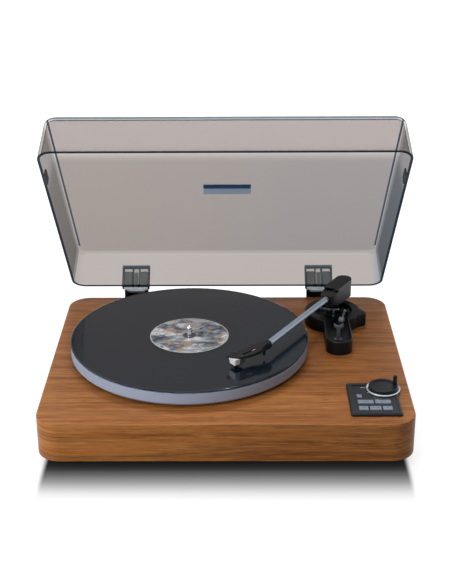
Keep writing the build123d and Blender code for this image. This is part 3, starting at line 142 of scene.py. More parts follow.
def rising(tree, value, start, end):
    # 0 below start, 1 above end
    node = tree.nodes.new("ShaderNodeMapRange")
    node.interpolation_type = "SMOOTHSTEP"
    node.inputs["From Min"].default_value = start
    node.inputs["From Max"].default_value = end
    tree.links.new(value, node.inputs["Value"])
    return node.outputs["Result"]


def above(tree, value, limit):
    return mathNode(tree, "GREATER_THAN", value, limit)


def below(tree, value, limit):
    return mathNode(tree, "LESS_THAN", value, limit)


def product(tree, first, *others):
    for other in others:
        first = mathNode(tree, "MULTIPLY", first, other)
    return first


def length(tree, x, y):
    return mathNode(tree, "SQRT", mathNode(tree, "MULTIPLY_ADD", x, x, product(tree, y, y)))


surfaceOutputs = [("NodeSocketColor", "Color"), ("NodeSocketFloat", "Roughness"),
                  ("NodeSocketFloat", "Height")]


# fine moulded or blasted texture
def makeGrainGroup():
    group, enter, leave = newGroup("MouldedGrain", [
        ("NodeSocketVector", "Vector", None),
        ("NodeSocketColor", "Color", (0.05, 0.05, 0.05, 1)),
        ("NodeSocketFloat", "Scale", 900.0),
        ("NodeSocketFloat", "Contrast", 0.2),
        ("NodeSocketFloat", "Roughness", 0.45),
    ], surfaceOutputs)
    fine = group.nodes.new("ShaderNodeTexNoise")
    fine.inputs["Detail"].default_value = 2.0
    group.links.new(enter.outputs["Vector"], fine.inputs["Vector"])
    group.links.new(enter.outputs["Scale"], fine.inputs["Scale"])
    centred = mathNode(group, "SUBTRACT", fine.outputs["Fac"], 0.5)
    swing = mathNode(group, "MULTIPLY", centred, enter.outputs["Contrast"])
    brightness = mathNode(group, "ADD", swing, 1.0)
    bright = mixColor(group, 1.0, enter.outputs["Color"], brightness, "MULTIPLY")
    group.links.new(bright, leave.inputs["Color"])
    rough = mathNode(group, "MULTIPLY_ADD", swing, 0.4, enter.outputs["Roughness"])
    group.links.new(rough, leave.inputs["Roughness"])
    group.links.new(fine.outputs["Fac"], leave.inputs["Height"])
    return group


# walnut foil with the grain along X; each scale is (along the grain, across it, across it)
woodLook = dict(
    light=(190, 130, 72), middle=(154, 97, 48), dark=(98, 56, 24),
    warmPatch=(170, 98, 42), greyPatch=(122, 82, 48),
    figure=(2.2, 13.0, 13.0), broad=(4.0, 110.0, 110.0), streak=(13.0, 520.0, 520.0),
    fine=(60.0, 1700.0, 1700.0), patch=(6.0, 150.0, 150.0), patchPlace=(0.7, 0.3, 0.2),
    wander=0.035, shares=(0.34, 0.40, 0.26), place=(0.31, 0.07, 0.0),
    darkToMiddle=[(0.34, 0.0), (0.53, 1.0)], middleToLight=[(0.47, 0.0), (0.70, 1.0)],
    warmStops=[(0.50, 0.0), (0.66, 0.45)], greyStops=[(0.34, 0.35), (0.46, 0.0)],
    poreStops=[(0.30, 0.70), (0.42, 1.0)],
    flat=0.6, shine=0.15, relief=0.00003)


def makeWoodGroup(look):
    group, enter, leave = newGroup("WalnutFoil", [
        ("NodeSocketVector", "Vector", None),
        ("NodeSocketColor", "Light", linear(look["light"])),
        ("NodeSocketColor", "Middle", linear(look["middle"])),
        ("NodeSocketColor", "Dark", linear(look["dark"])),
    ], surfaceOutputs)
    vector = enter.outputs["Vector"]
    figure = noise(group, stretched(group, vector, scale=look["figure"]))
    # the broad figure bends the streaks
    warp = group.nodes.new("ShaderNodeCombineXYZ")
    for axis in "YZ":
        group.links.new(mathNode(group, "MULTIPLY", figure, look["wander"]), warp.inputs[axis])
    moved = vectorMath(group, "ADD", vector, warp.outputs[0])[0]
    broad = noise(group, stretched(group, moved, scale=look["broad"]), rough=0.6)
    streak = noise(group, stretched(group, moved, scale=look["streak"]), rough=0.65)
    fine = noise(group, stretched(group, vector, scale=look["fine"]), detail=2.0, rough=0.6)
    patches = stretched(group, moved, location=look["patchPlace"], scale=look["patch"])
    warm = noise(group, patches, detail=2.0)
    broadShare, streakShare, fineShare = look["shares"]
    tone = mathNode(group, "MULTIPLY_ADD", broad, broadShare,
                    mathNode(group, "MULTIPLY", streak, streakShare))
    tone = mathNode(group, "ADD", tone, mathNode(group, "MULTIPLY", fine, fineShare))
    color = enter.outputs["Dark"]
    for value, stops, other in ((tone, "darkToMiddle", enter.outputs["Middle"]),
                                (tone, "middleToLight", enter.outputs["Light"]),
                                (warm, "warmStops", linear(look["warmPatch"])),
                                (warm, "greyStops", linear(look["greyPatch"]))):
        color = mixColor(group, ramp(group, value, look[stops]), color, other)
    pores = ramp(group, fine, look["poreStops"])
    color = mixColor(group, 1.0, color, pores, "MULTIPLY")
    group.links.new(color, leave.inputs["Color"])
    group.links.new(mathNode(group, "MULTIPLY_ADD", streak, 0.12, 0.36), leave.inputs["Roughness"])
    group.links.new(pores, leave.inputs["Height"])
    return group


# radius from a vertical axis, and fine turning marks round it
def makeTurnedGroup():
    group, enter, leave = newGroup("TurnedMarks", [
        ("NodeSocketVector", "Vector", None),
        ("NodeSocketVector", "Centre", (0, 0, 0)),
        ("NodeSocketFloat", "Pitch", 900.0),
    ], [("NodeSocketFloat", "Radius"), ("NodeSocketFloat", "Marks")])
    offset = vectorMath(group, "SUBTRACT", enter.outputs["Vector"], enter.outputs["Centre"])[0]
    x, y, _ = separate(group, offset)
    radius = length(group, x, y)
    wave = mathNode(group, "SINE", mathNode(group, "MULTIPLY", radius, enter.outputs["Pitch"]))
    group.links.new(radius, leave.inputs["Radius"])
    group.links.new(mathNode(group, "MULTIPLY_ADD", wave, 0.5, 0.5), leave.inputs["Marks"])
    return group


grainGroup = makeGrainGroup()
woodGroup = makeWoodGroup(woodLook)
turnedGroup = makeTurnedGroup()
print("shared effects built")


def newMaterial(name):
    material = bpy.data.materials.new(name)
    material.use_nodes = True
    tree = material.node_tree
    tree.nodes.clear()
    out = tree.nodes.new("ShaderNodeOutputMaterial")
    shader = tree.nodes.new("ShaderNodeBsdfPrincipled")
    tree.links.new(shader.outputs[0], out.inputs["Surface"])
    return material, tree, shader, tree.nodes.new("ShaderNodeTexCoord")


def mixShaders(tree, factor, first, second):
    mixer = tree.nodes.new("ShaderNodeMixShader")
    for value, socket in zip((factor, first.outputs[0], second.outputs[0]), mixer.inputs):
        tree.links.new(value, socket)
    out = next(node for node in tree.nodes if node.type.startswith("OUTPUT_"))
    tree.links.new(mixer.outputs[0], out.inputs["Surface"])


def bump(tree, shader, height, distance, strength=1.0):
    node = tree.nodes.new("ShaderNodeBump")
    node.inputs["Strength"].default_value = strength
    node.inputs["Distance"].default_value = distance
    tree.links.new(height, node.inputs["Height"])
    tree.links.new(node.outputs[0], shader.inputs["Normal"])


def placeGroup(tree, group, vector, **values):
    node = tree.nodes.new("ShaderNodeGroup")
    node.node_tree = group
    tree.links.new(vector, node.inputs["Vector"])
    for label, value in values.items():
        node.inputs[label].default_value = value
    return node.outputs


# fine even texture that drives the roughness and the relief
def satinFinish(tree, shader, satin, rough, swing=0.1, relief=0.00001):
    tree.links.new(mathNode(tree, "MULTIPLY_ADD", satin, swing, rough), shader.inputs["Roughness"])
    bump(tree, shader, satin, relief)


def moulded(name, rgb, rough=0.45, metal=0.0, scale=900.0, contrast=0.2, depth=0.00002, shine=0.5):
    material, tree, shader, coords = newMaterial(name)
    grain = placeGroup(tree, grainGroup, coords.outputs["Object"],
                       Color=linear(rgb), Scale=scale, Contrast=contrast, Roughness=rough)
    tree.links.new(grain["Color"], shader.inputs["Base Color"])
    tree.links.new(grain["Roughness"], shader.inputs["Roughness"])
    shader.inputs["Metallic"].default_value = metal
    shader.inputs["Specular IOR Level"].default_value = shine
    bump(tree, shader, grain["Height"], depth)
    return material


def middle(name):
    low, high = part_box(name)
    return (low + high) / 2


spindleAxis = middle("spindle")
discLow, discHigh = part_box("record_disc")
discRadius = (discHigh.x - discLow.x) / 2
labelLow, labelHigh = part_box("record_label")
labelRadius = (labelHigh.x - labelLow.x) / 2
plinthLow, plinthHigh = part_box("plinth")
plinthMiddle = (plinthLow + plinthHigh) / 2
joints = {joint["name"]: joint for joint in frame["record"]["behaviour"]["joints"]}
lidHinge = joints["lid_hinge"]
lidPin = Vector(lidHinge["pos_m"])
lidTilt = math.radians(lidHinge["range_deg"][1])
lidForward = Vector((0, -math.cos(lidTilt), math.sin(lidTilt)))   # from the hinge to its front
lidOut = Vector((0, math.sin(lidTilt), math.cos(lidTilt)))        # out of its top plate
headshellAngle = math.radians(-144.1)   # from its root towards the cartridge
headshellAhead = Vector((math.cos(headshellAngle), math.sin(headshellAngle), 0))


def makeWalnut(look):
    material, tree, shader, coords = newMaterial("walnut")
    # round the sides the grain runs on level, so its length follows x and y there
    x, y, z = separate(tree, coords.outputs["Object"])
    facing = separate(tree, coords.outputs["Normal"])["Z"]
    flat = above(tree, mathNode(tree, "ABSOLUTE", facing), look["flat"])
    depth = mathNode(tree, "SUBTRACT", y, plinthLow.y)
    level = mathNode(tree, "MULTIPLY", depth, flat)
    run = mathNode(tree, "ADD", x, mathNode(tree, "SUBTRACT", depth, level))
    foil = tree.nodes.new("ShaderNodeCombineXYZ")
    for value, socket in zip((run, level, z), foil.inputs):
        tree.links.new(value, socket)
    wood = placeGroup(tree, woodGroup, stretched(tree, foil.outputs[0], location=look["place"]))
    tree.links.new(wood["Color"], shader.inputs["Base Color"])
    tree.links.new(wood["Roughness"], shader.inputs["Roughness"])
    shader.inputs["Specular IOR Level"].default_value = look["shine"]
    bump(tree, shader, wood["Height"], look["relief"])
    return material


# radii in metres: the run-out's edge and the gaps between tracks
vinylLook = dict(
    color=(13, 22, 32), shine=0.78, sheen=(222, 238, 255), pitch=6200.0,
    label=0.0610, edge=0.0042, gaps=(0.0722, 0.0935, 0.1152, 0.1362), halfGap=0.00042,
    trackNoise=700.0, darkest=0.84, trackTone=0.30, rough=0.07, grooveRough=0.05, trackRough=0.06,
    relief=0.000004, reliefStrength=0.2)


def makeVinyl(look):
    material, tree, shader, coords = newMaterial("vinyl")
    marks = placeGroup(tree, turnedGroup, coords.outputs["Object"],
                       Centre=tuple(spindleAxis), Pitch=look["pitch"])
    radius = marks["Radius"]
    # plain bands: run-out, edge, and the gaps between tracks
    grooved = product(tree, above(tree, radius, look["label"]),
                      below(tree, radius, discRadius - look["edge"]))
    for gap in look["gaps"]:
        away = mathNode(tree, "ABSOLUTE", mathNode(tree, "SUBTRACT", radius, gap))
        grooved = product(tree, grooved, above(tree, away, look["halfGap"]))
    combine = tree.nodes.new("ShaderNodeCombineXYZ")
    tree.links.new(radius, combine.inputs[0])
    loud = noise(tree, combine.outputs[0], scale=look["trackNoise"], rough=0.6)
    music = product(tree, grooved, loud)
    tone = mathNode(tree, "MULTIPLY_ADD", music, look["trackTone"], look["darkest"])
    tree.links.new(mixColor(tree, 1.0, linear(look["color"]), tone, "MULTIPLY"),
                   shader.inputs["Base Color"])
    rough = mathNode(tree, "MULTIPLY_ADD", grooved, look["grooveRough"], look["rough"])
    tree.links.new(mathNode(tree, "MULTIPLY_ADD", music, look["trackRough"], rough),
                   shader.inputs["Roughness"])
    shader.inputs["Specular IOR Level"].default_value = look["shine"]
    shader.inputs["Specular Tint"].default_value = linear(look["sheen"])
    bump(tree, shader, product(tree, marks["Marks"], grooved), look["relief"],
         look["reliefStrength"])
    return material


# a plain print: soft grey fields, tan and dark patches, a pale rim and a dark middle
labelLook = dict(
    fields=[(0.36, (50, 54, 64)), (0.45, (116, 128, 144)),
            (0.53, (176, 184, 194)), (0.63, (236, 238, 240))],
    tan=(184, 150, 118), dark=(46, 46, 54), rim=(205, 206, 208), rimWidth=0.0012,
    hub=(62, 64, 70), hubRadius=0.0085,
    fieldScale=(34, 66, 1), patchScale=(62, 96, 1), patchPlace=(3.1, 1.7, 0),
    tanStops=[(0.55, 0.0), (0.60, 0.85)], darkStops=[(0.37, 0.9), (0.43, 0.0)])


def makeLabelPaper(look):
    material, tree, shader, coords = newMaterial("label_paper")
    place = coords.outputs["Object"]
    radius = placeGroup(tree, turnedGroup, place, Centre=tuple(spindleAxis))["Radius"]
    local = stretched(tree, place, location=tuple(-v for v in spindleAxis))
    field = noise(tree, stretched(tree, local, scale=look["fieldScale"]),
                  detail=5.0, rough=0.62, distortion=0.8)
    patches = stretched(tree, local, location=look["patchPlace"], scale=look["patchScale"])
    patch = noise(tree, patches, detail=4.0, rough=0.6, distortion=0.6)
    base = ramp(tree, field, [(position, linear(rgb)) for position, rgb in look["fields"]])
    for mask, color in ((ramp(tree, patch, look["tanStops"]), "tan"),
                        (ramp(tree, patch, look["darkStops"]), "dark"),
                        (above(tree, radius, labelRadius - look["rimWidth"]), "rim"),
                        (below(tree, radius, look["hubRadius"]), "hub")):
        base = mixColor(tree, mask, base, linear(look[color]))
    tree.links.new(base, shader.inputs["Base Color"])
    satinFinish(tree, shader, noise(tree, place, scale=2600.0, detail=2.0), rough=0.34)
    return material


def satinMetal(name, dark, light, metal, rough, stretch, scale):
    material, tree, shader, coords = newMaterial(name)
    satin = noise(tree, stretched(tree, coords.outputs["Object"], scale=stretch), scale, detail=2.0)
    tree.links.new(mixColor(tree, satin, linear(dark), linear(light)), shader.inputs["Base Color"])
    shader.inputs["Metallic"].default_value = metal
    satinFinish(tree, shader, satin, rough)
    return material


# in metres; the rear edge and the rim are placed forward and outward of the hinge pin
lidLook = dict(
    # tints, from the top plate's left and right sides to the sockets and their edges; front is a
    # paler tint towards the lid's front, a painted reflection of the light above
    warm=(208, 202, 198), cool=(203, 200, 199), front=(238, 235, 234),
    # right is a cooler tint on the right side wall, a painted reflection
    wall=(216, 212, 209), right=(204, 208, 213), rimTint=(96, 112, 126), edge=(30, 40, 50),
    line=(92, 106, 120), lip=(186, 192, 197), socket=(236, 235, 233), frame=(96, 110, 118),
    # the lid's outline
    rim=-0.006, rear=0.0173, depth=0.353, width=0.431, corner=0.018, height=0.053,
    # where each tint starts and ends
    sideFade=(-0.2, 0.2), rightReflectionFade=(0.203, 0.213), frontReflectionFade=(0.090, 0.050),
    rimFade=(0.0006, 0.0012),
    wallInset=0.0078, lineInset=(0.0074, 0.0096), lineDepth=0.0020, lineStart=0.04,
    lipReach=(0.0130, 0.0040), lipDepth=0.0065,
    # hinge sockets: their middle, the ribs and walls beside it, and their top
    hingeX=0.1285, socketDepth=0.0006, rib=(0.0034, 0.0053), socketHalf=0.0168, socketTop=0.0316,
    # by how much the view is at a slant: what comes through, and what the surface covers
    through=[(0.0, 1.0), (0.6, 0.95), (0.78, 0.78), (0.90, 0.50), (1.0, 0.20)],
    cover=[(0.0, 0.045), (0.70, 0.08), (0.88, 0.26), (1.0, 0.70)], rimCover=0.55,
    hazeScale=6.0, hazeShare=0.3, rough=0.03, hazeRough=0.02)


# smoke-tinted acrylic: one tint for each surface, paler towards the front with a painted reflection
# of the light above, with dark rims
def makeSmoky(look):
    material, tree, shader, coords = newMaterial("smoky_clear")
    clear = tree.nodes.new("ShaderNodeBsdfTransparent")
    place = coords.outputs["Object"]
    forward = along(tree, place, lidForward, lidPin)
    outward = along(tree, place, lidOut, lidPin)
    across = along(tree, place, (1, 0, 0), (0, 0, 0))
    top = look["rim"] + look["height"]
    haze = noise(tree, place, scale=look["hazeScale"], detail=2.0)

    # how far inside the rounded outline of the top plate
    centre = look["depth"] / 2 + look["rear"]
    sideways = mathNode(tree, "SUBTRACT", mathNode(tree, "ABSOLUTE", across),
                        look["width"] / 2 - look["corner"])
    fromCentre = mathNode(tree, "ABSOLUTE", mathNode(tree, "SUBTRACT", forward, centre))
    lengthways = mathNode(tree, "SUBTRACT", fromCentre, look["depth"] / 2 - look["corner"])
    past = length(tree, mathNode(tree, "MAXIMUM", sideways, 0.0),
                  mathNode(tree, "MAXIMUM", lengthways, 0.0))
    within = mathNode(tree, "MINIMUM", mathNode(tree, "MAXIMUM", sideways, lengthways), 0.0)
    inset = mathNode(tree, "SUBTRACT", look["corner"], mathNode(tree, "ADD", past, within))

    # round the top plate the light bends away, which leaves a thin dark line
    lineStart, lineEnd = look["lineInset"]
    line = product(tree, above(tree, inset, lineStart), below(tree, inset, lineEnd),
                   above(tree, outward, top - look["lineDepth"]),
                   above(tree, forward, look["lineStart"]))
    lipStart, lipEnd = look["lipReach"]
    lip = product(tree, above(tree, lengthways, look["corner"] - lipStart),
                  below(tree, lengthways, look["corner"] - lipEnd),
                  above(tree, outward, top - look["lipDepth"]), above(tree, forward, centre))

    # the hinge sockets' walls and ribs, seen on edge
    socket = below(tree, forward, look["rear"] - look["socketDepth"])
    fromHinge = mathNode(tree, "SUBTRACT", mathNode(tree, "ABSOLUTE", across), look["hingeX"])
    beside = mathNode(tree, "ABSOLUTE", fromHinge)
    ribStart, ribEnd = look["rib"]
    ribs = product(tree, above(tree, beside, ribStart), below(tree, beside, ribEnd))
    onEdge = mathNode(tree, "MAXIMUM", above(tree, beside, look["socketHalf"]), ribs)
    onEdge = mathNode(tree, "MAXIMUM", onEdge,
                      above(tree, outward, look["rim"] + look["socketTop"]))

    side = rising(tree, across, *look["sideFade"])
    side = mathNode(tree, "MULTIPLY_ADD", haze, look["hazeShare"], side)
    tint = mixColor(tree, side, linear(look["warm"]), linear(look["cool"]))
    # painted reflection: a cooler tint on the right side wall
    wallTint = mixColor(tree, rising(tree, across, *look["rightReflectionFade"]),
                        linear(look["wall"]), linear(look["right"]))
    tint = mixColor(tree, below(tree, inset, look["wallInset"]), tint, wallTint)
    # painted reflection: a paler tint over the lid's front part, where the light above is mirrored
    reflectionStart, reflectionEnd = (look["depth"] - reach for reach in look["frontReflectionFade"])
    for mask, color in ((rising(tree, forward, reflectionStart, reflectionEnd), "front"),
                        (lip, "lip"), (line, "line"), (socket, "socket"),
                        (product(tree, onEdge, socket), "frame")):
        tint = mixColor(tree, mask, tint, linear(look[color]))
    rimStart, rimEnd = (look["rim"] + rise for rise in look["rimFade"])
    rim = mathNode(tree, "SUBTRACT", 1.0, rising(tree, outward, rimStart, rimEnd))

    # at a slant the way through the sheet is longer, and its surface covers more
    layer = tree.nodes.new("ShaderNodeLayerWeight")
    layer.inputs["Blend"].default_value = 0.5
    slant = layer.outputs["Facing"]
    tint = mixColor(tree, 1.0, tint, ramp(tree, slant, look["through"]), "MULTIPLY")
    tree.links.new(mixColor(tree, rim, tint, linear(look["rimTint"])), clear.inputs["Color"])
    shader.inputs["Base Color"].default_value = linear(look["edge"])
    shader.inputs["Specular IOR Level"].default_value = 0.0
    tree.links.new(mathNode(tree, "MULTIPLY_ADD", haze, look["hazeRough"], look["rough"]),
                   shader.inputs["Roughness"])
    cover = ramp(tree, slant, look["cover"])
    cover = mathNode(tree, "MULTIPLY_ADD", rim, look["rimCover"], cover, clamp=True)
    mixShaders(tree, cover, clear, shader)
    return material


# pale leaves, dark round the hinge pin and at the top
hingeLook = dict(
    leaf=(222, 240, 252), knuckle=(30, 32, 36), knuckleReach=0.0120,
    top=(30, 33, 38), topStart=0.0178, metal=0.15)


def makeHingeMetal(look):
    material, tree, shader, coords = newMaterial("hinge_metal")
    place = coords.outputs["Object"]
    forward = along(tree, place, lidForward, lidPin)
    outward = along(tree, place, lidOut, lidPin)
    knuckle = below(tree, length(tree, forward, outward), look["knuckleReach"])
    base = mixColor(tree, knuckle, linear(look["leaf"]), linear(look["knuckle"]))
    base = mixColor(tree, above(tree, outward, look["topStart"]), base, linear(look["top"]))
    tree.links.new(base, shader.inputs["Base Color"])
    shader.inputs["Metallic"].default_value = look["metal"]
    satin = noise(tree, place, scale=900.0, detail=2.0)
    satinFinish(tree, shader, satin, rough=0.34, swing=0.12)
    return material


# white front cap, dark rear body; the seam is ahead of the body's middle
cartridgeLook = dict(body=(84, 88, 94), cap=(232, 228, 228), seam=(0.0012, 0.0014))


def makeCartridge(look):
    material, tree, shader, coords = newMaterial("cartridge_grey")
    place = coords.outputs["Object"]
    front = along(tree, place, headshellAhead, middle("cartridge_body"))
    cap = rising(tree, front, *look["seam"])
    tree.links.new(mixColor(tree, cap, linear(look["body"]), linear(look["cap"])),
                   shader.inputs["Base Color"])
    satinFinish(tree, shader, noise(tree, place, scale=1200.0, detail=2.0), rough=0.30)
    return material


# plain surfaces: colour, roughness, metal, and the texture's scale, contrast and depth
mouldedLooks = {
    "cover_board": dict(rgb=(26, 26, 27), rough=0.6),
    "screw_steel": dict(rgb=(58, 60, 64), rough=0.34, metal=0.5, scale=2400.0),
    "foot_rubber": dict(rgb=(30, 31, 33), rough=0.6),
    "cast_metal": dict(rgb=(74, 76, 80), rough=0.45, metal=0.5, scale=1400.0, contrast=0.3),
    "bush_brass": dict(rgb=(190, 150, 85), rough=0.3, metal=0.9, scale=2400.0),
    "polished_steel": dict(rgb=(205, 208, 212), rough=0.16, metal=1.0, scale=2600.0,
                           contrast=0.06, depth=0.000004),
    "mat_rubber": dict(rgb=(20, 20, 21), rough=0.8, scale=2200.0),
    "motor_steel": dict(rgb=(135, 137, 140), rough=0.35, metal=0.85),
    "belt_rubber": dict(rgb=(18, 18, 18), rough=0.7),
    "black_plastic": dict(rgb=(14, 17, 22), rough=0.38, scale=1500.0, shine=0.2),
    "arm_metal": dict(rgb=(20, 23, 28), rough=0.34, metal=0.1, shine=0.3),
    "grey_plastic": dict(rgb=(74, 78, 84), rough=0.4),
    "lever_plastic": dict(rgb=(88, 94, 102), rough=0.34),
    "shell_plastic": dict(rgb=(20, 22, 25), rough=0.30, scale=1500.0, shine=0.3),
    "panel_plastic": dict(rgb=(27, 30, 34), rough=0.46, scale=2600.0, contrast=0.7,
                          depth=0.00005, shine=0.25),
    "board_green": dict(rgb=(36, 88, 60), rough=0.45),
    "button_silver": dict(rgb=(128, 141, 157), rough=0.34, metal=0.1, scale=1800.0, contrast=0.08),
    "silver_trim": dict(rgb=(208, 216, 226), rough=0.22, metal=0.7, scale=2200.0, contrast=0.08),
}
satinLooks = {
    "platter_aluminium": dict(dark=(144, 158, 180), light=(160, 172, 194), metal=0.0, rough=0.42,
                              stretch=(1, 1, 900), scale=4.0),
    "tube_aluminium": dict(dark=(158, 173, 191), light=(174, 188, 204), metal=0.5, rough=0.30,
                           stretch=(1, 1, 1), scale=700.0),
}
materials = {
    **{name: moulded(name, **look) for name, look in mouldedLooks.items()},
    **{name: satinMetal(name, **look) for name, look in satinLooks.items()},
    "walnut": makeWalnut(woodLook),
    "vinyl": makeVinyl(vinylLook),
    "label_paper": makeLabelPaper(labelLook),
    "cartridge_grey": makeCartridge(cartridgeLook),
    "smoky_clear": makeSmoky(lidLook),
    "hinge_metal": makeHingeMetal(hingeLook),
}
for name, node in nodes.items():
    slot = node.data.materials[0].name.split(".")[0]
    node.data.materials.clear()
    node.data.materials.append(materials[slot])
print("materials set")


def addPiece(name, mesh, material, body):
    piece = bpy.data.objects.new(name, mesh)
    bpy.context.scene.collection.objects.link(piece)
    piece.data.materials.append(material)
    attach(piece, body)
    return piece


# flat plates with the given outlines; place turns a point of the outline to the frame
def platesMesh(name, outlines, thickness, place):
    mesh = bpy.data.meshes.new(name)
    bm = bmesh.new()
    for outline in outlines:
        low = [bm.verts.new(place(x, y, 0)) for x, y in outline]
        high = [bm.verts.new(place(x, y, thickness)) for x, y in outline]
        bm.faces.new(low[::-1])
        bm.faces.new(high)
        for index in range(len(outline)):
            after = (index + 1) % len(outline)
            bm.faces.new((low[index], low[after], high[after], high[index]))
    bm.normal_update()
    bmesh.ops.recalc_face_normals(bm, faces=bm.faces)
    bm.to_mesh(mesh)
    bm.free()
    return mesh


def bar(x, y, width, depth):
    return [(x - width / 2, y - depth / 2), (x + width / 2, y - depth / 2),
            (x + width / 2, y + depth / 2), (x - width / 2, y + depth / 2)]


def roundedBar(x, y, width, depth, radius, steps=5):
    points = []
    for corner, (sx, sy) in enumerate(((1, 1), (-1, 1), (-1, -1), (1, -1))):
        for step in range(steps + 1):
            angle = math.radians(90 * corner + 90 * step / steps)
            points.append((x + sx * (width / 2 - radius) + radius * math.cos(angle),
                           y + sy * (depth / 2 - radius) + radius * math.sin(angle)))
    return points


def disc(x, y, radius, steps=20):
    turns = [math.tau * i / steps for i in range(steps)]
    return [(x + radius * math.cos(turn), y + radius * math.sin(turn)) for turn in turns]


def arrow(x, y, size, way):
    back, front = x - way * size / 2, x + way * size / 2
    return [(back, y - size / 2), (front, y), (back, y + size / 2)][::way]


# bare badge plate on the top plate's inner face, with a darker part towards the lid's front
badgeLook = dict(
    middle=0.00125, fromRear=0.1835, underTop=0.0037, width=0.0605, depth=0.0235, corner=0.0012,
    line=0.0095, lineCorner=0.0010, thickness=0.0003, grey=(172, 190, 214), blue=(22, 70, 112))


def makeBadge(look):
    height = lidLook["rim"] + lidLook["height"] - look["underTop"]
    rear = lidPin + lidForward * lidLook["rear"] + lidOut * height

    def place(x, y, z):
        return rear + Vector((x, 0, 0)) + lidForward * y + lidOut * z

    plate = roundedBar(look["middle"], look["fromRear"],
                       look["width"], look["depth"], look["corner"])
    line = roundedBar(look["middle"], look["fromRear"] + (look["depth"] - look["line"]) / 2,
                      look["width"], look["line"], look["lineCorner"])
    plateMesh = platesMesh("badgePlate", [plate], look["thickness"], place)
    # the darker part is thicker, and shows on both faces of the plate
    lineMesh = platesMesh("badgeLine", [line], 2 * look["thickness"],
                          lambda x, y, z: place(x, y, z - look["thickness"] / 2))
    addPiece("badgePlate", plateMesh, moulded("badge_grey", look["grey"], rough=0.4), "lid")
    addPiece("badgeLine", lineMesh, moulded("badge_blue", look["blue"], rough=0.35), "lid")


makeBadge(badgeLook)


# plain marks on a node's top or, with a drop, on a floor below it
def printMarks(name, on, outlines, thickness, ink, body, drop=0.0):
    low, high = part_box(on)
    x, y = (low.x + high.x) / 2, (low.y + high.y) / 2
    mesh = platesMesh(name, outlines, thickness,
                      lambda u, v, w: Vector((x + u / 1000, y + v / 1000, high.z - drop + w)))
    addPiece(name, mesh, ink, body)


# small plain signs on the caps, in millimetres from each cap's middle
keyLook = dict(ink=(48, 52, 60), thickness=0.00006, signs={
    "button_front_left": [arrow(0.0, 0.9, 1.9, -1), bar(1.5, 0.9, 0.6, 1.9),
                          bar(-1.4, 0.9, 0.6, 1.9)],
    "button_front_middle": [arrow(-1.9, 0.8, 1.9, 1), bar(1.9, 0.8, 0.7, 1.9),
                            bar(3.1, 0.8, 0.7, 1.9)],
    "button_front_right": [arrow(-0.6, 0.9, 1.9, 1), bar(0.8, 0.9, 0.6, 1.9)],
    "button_middle_left": [bar(0.4, -0.2, 6.4, 0.9)],
    "button_middle_right": [bar(0.2, -0.2, 7.0, 0.9)],
    "button_single": [disc(0.8, 1.0, 1.1)],
})


def makeSigns(look):
    ink = moulded("ink_dark", look["ink"], rough=0.5)
    for name, outlines in look["signs"].items():
        printMarks(name + "Sign", name, outlines, look["thickness"], ink, name + "_cap")


makeSigns(keyLook)

# pale marks in the panel's tray, in millimetres from its middle
markLook = dict(
    ink=(196, 200, 204), thickness=0.00006, trayDepth=0.001,
    tray=[bar(-14.5, 31.9, 13.6, 0.5), bar(-12.0, 25.0, 4.6, 0.8),
          bar(-6.9, 12.4, 1.9, 0.8), bar(1.8, 5.0, 1.6, 0.8)])


def makeMarks(look):
    ink = moulded("ink_pale", look["ink"], rough=0.5)
    printMarks("trayMarks", "panel_housing", look["tray"], look["thickness"], ink, "chassis",
               look["trayDepth"])


makeMarks(markLook)

# black dot on the selector's top, in from its rim: painted shade standing in for the index dimple
dotLook = dict(bearing=218.0, inset=0.0024, band=0.004, radius=0.0009, thickness=0.00008,
               ink=(8, 8, 9))


def makeDot(look):
    ring = middle("selector_ring")
    low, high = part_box("selector_knob")
    radius = (high.x - low.x) / 2 - look["inset"]
    bearing = math.radians(look["bearing"])
    x = ring.x + radius * math.cos(bearing)
    y = ring.y + radius * math.sin(bearing)
    # the knob's highest point in that band and on that side
    top = max(v.co.z for v in nodes["selector_knob"].data.vertices
              if v.co.x < ring.x
              and (v.co.x - ring.x) ** 2 + (v.co.y - ring.y) ** 2 > (radius - look["band"]) ** 2)
    dot = platesMesh("selectorDot", [disc(0, 0, look["radius"])], look["thickness"],
                     lambda u, v, w: Vector((x + u, y + v, top + w)))
    addPiece("selectorDot", dot, moulded("dimple_shade_black", look["ink"], rough=0.6), "selector")


makeDot(dotLook)


def tubeMesh(name, points, radius, sides=8):
    mesh = bpy.data.meshes.new(name)
    bm = bmesh.new()
    rings = []
    for index, point in enumerate(points):
        before, after = points[max(index - 1, 0)], points[min(index + 1, len(points) - 1)]
        tangent = (after - before).normalized()
        sideways = tangent.cross(Vector((0, 0, 1))).normalized()
        upward = sideways.cross(tangent)
        turns = [math.tau * k / sides for k in range(sides)]
        rings.append([
            bm.verts.new(point + radius * (math.cos(turn) * sideways + math.sin(turn) * upward))
            for turn in turns])
    for first, second in zip(rings, rings[1:]):
        for k in range(sides):
            bm.faces.new((first[k], first[(k + 1) % sides], second[(k + 1) % sides], second[k]))
    bm.faces.new(rings[0][::-1])
    bm.faces.new(rings[-1])
    bmesh.ops.recalc_face_normals(bm, faces=bm.faces)
    bm.to_mesh(mesh)
    bm.free()
    for polygon in mesh.polygons:
        polygon.use_smooth = True
    return mesh


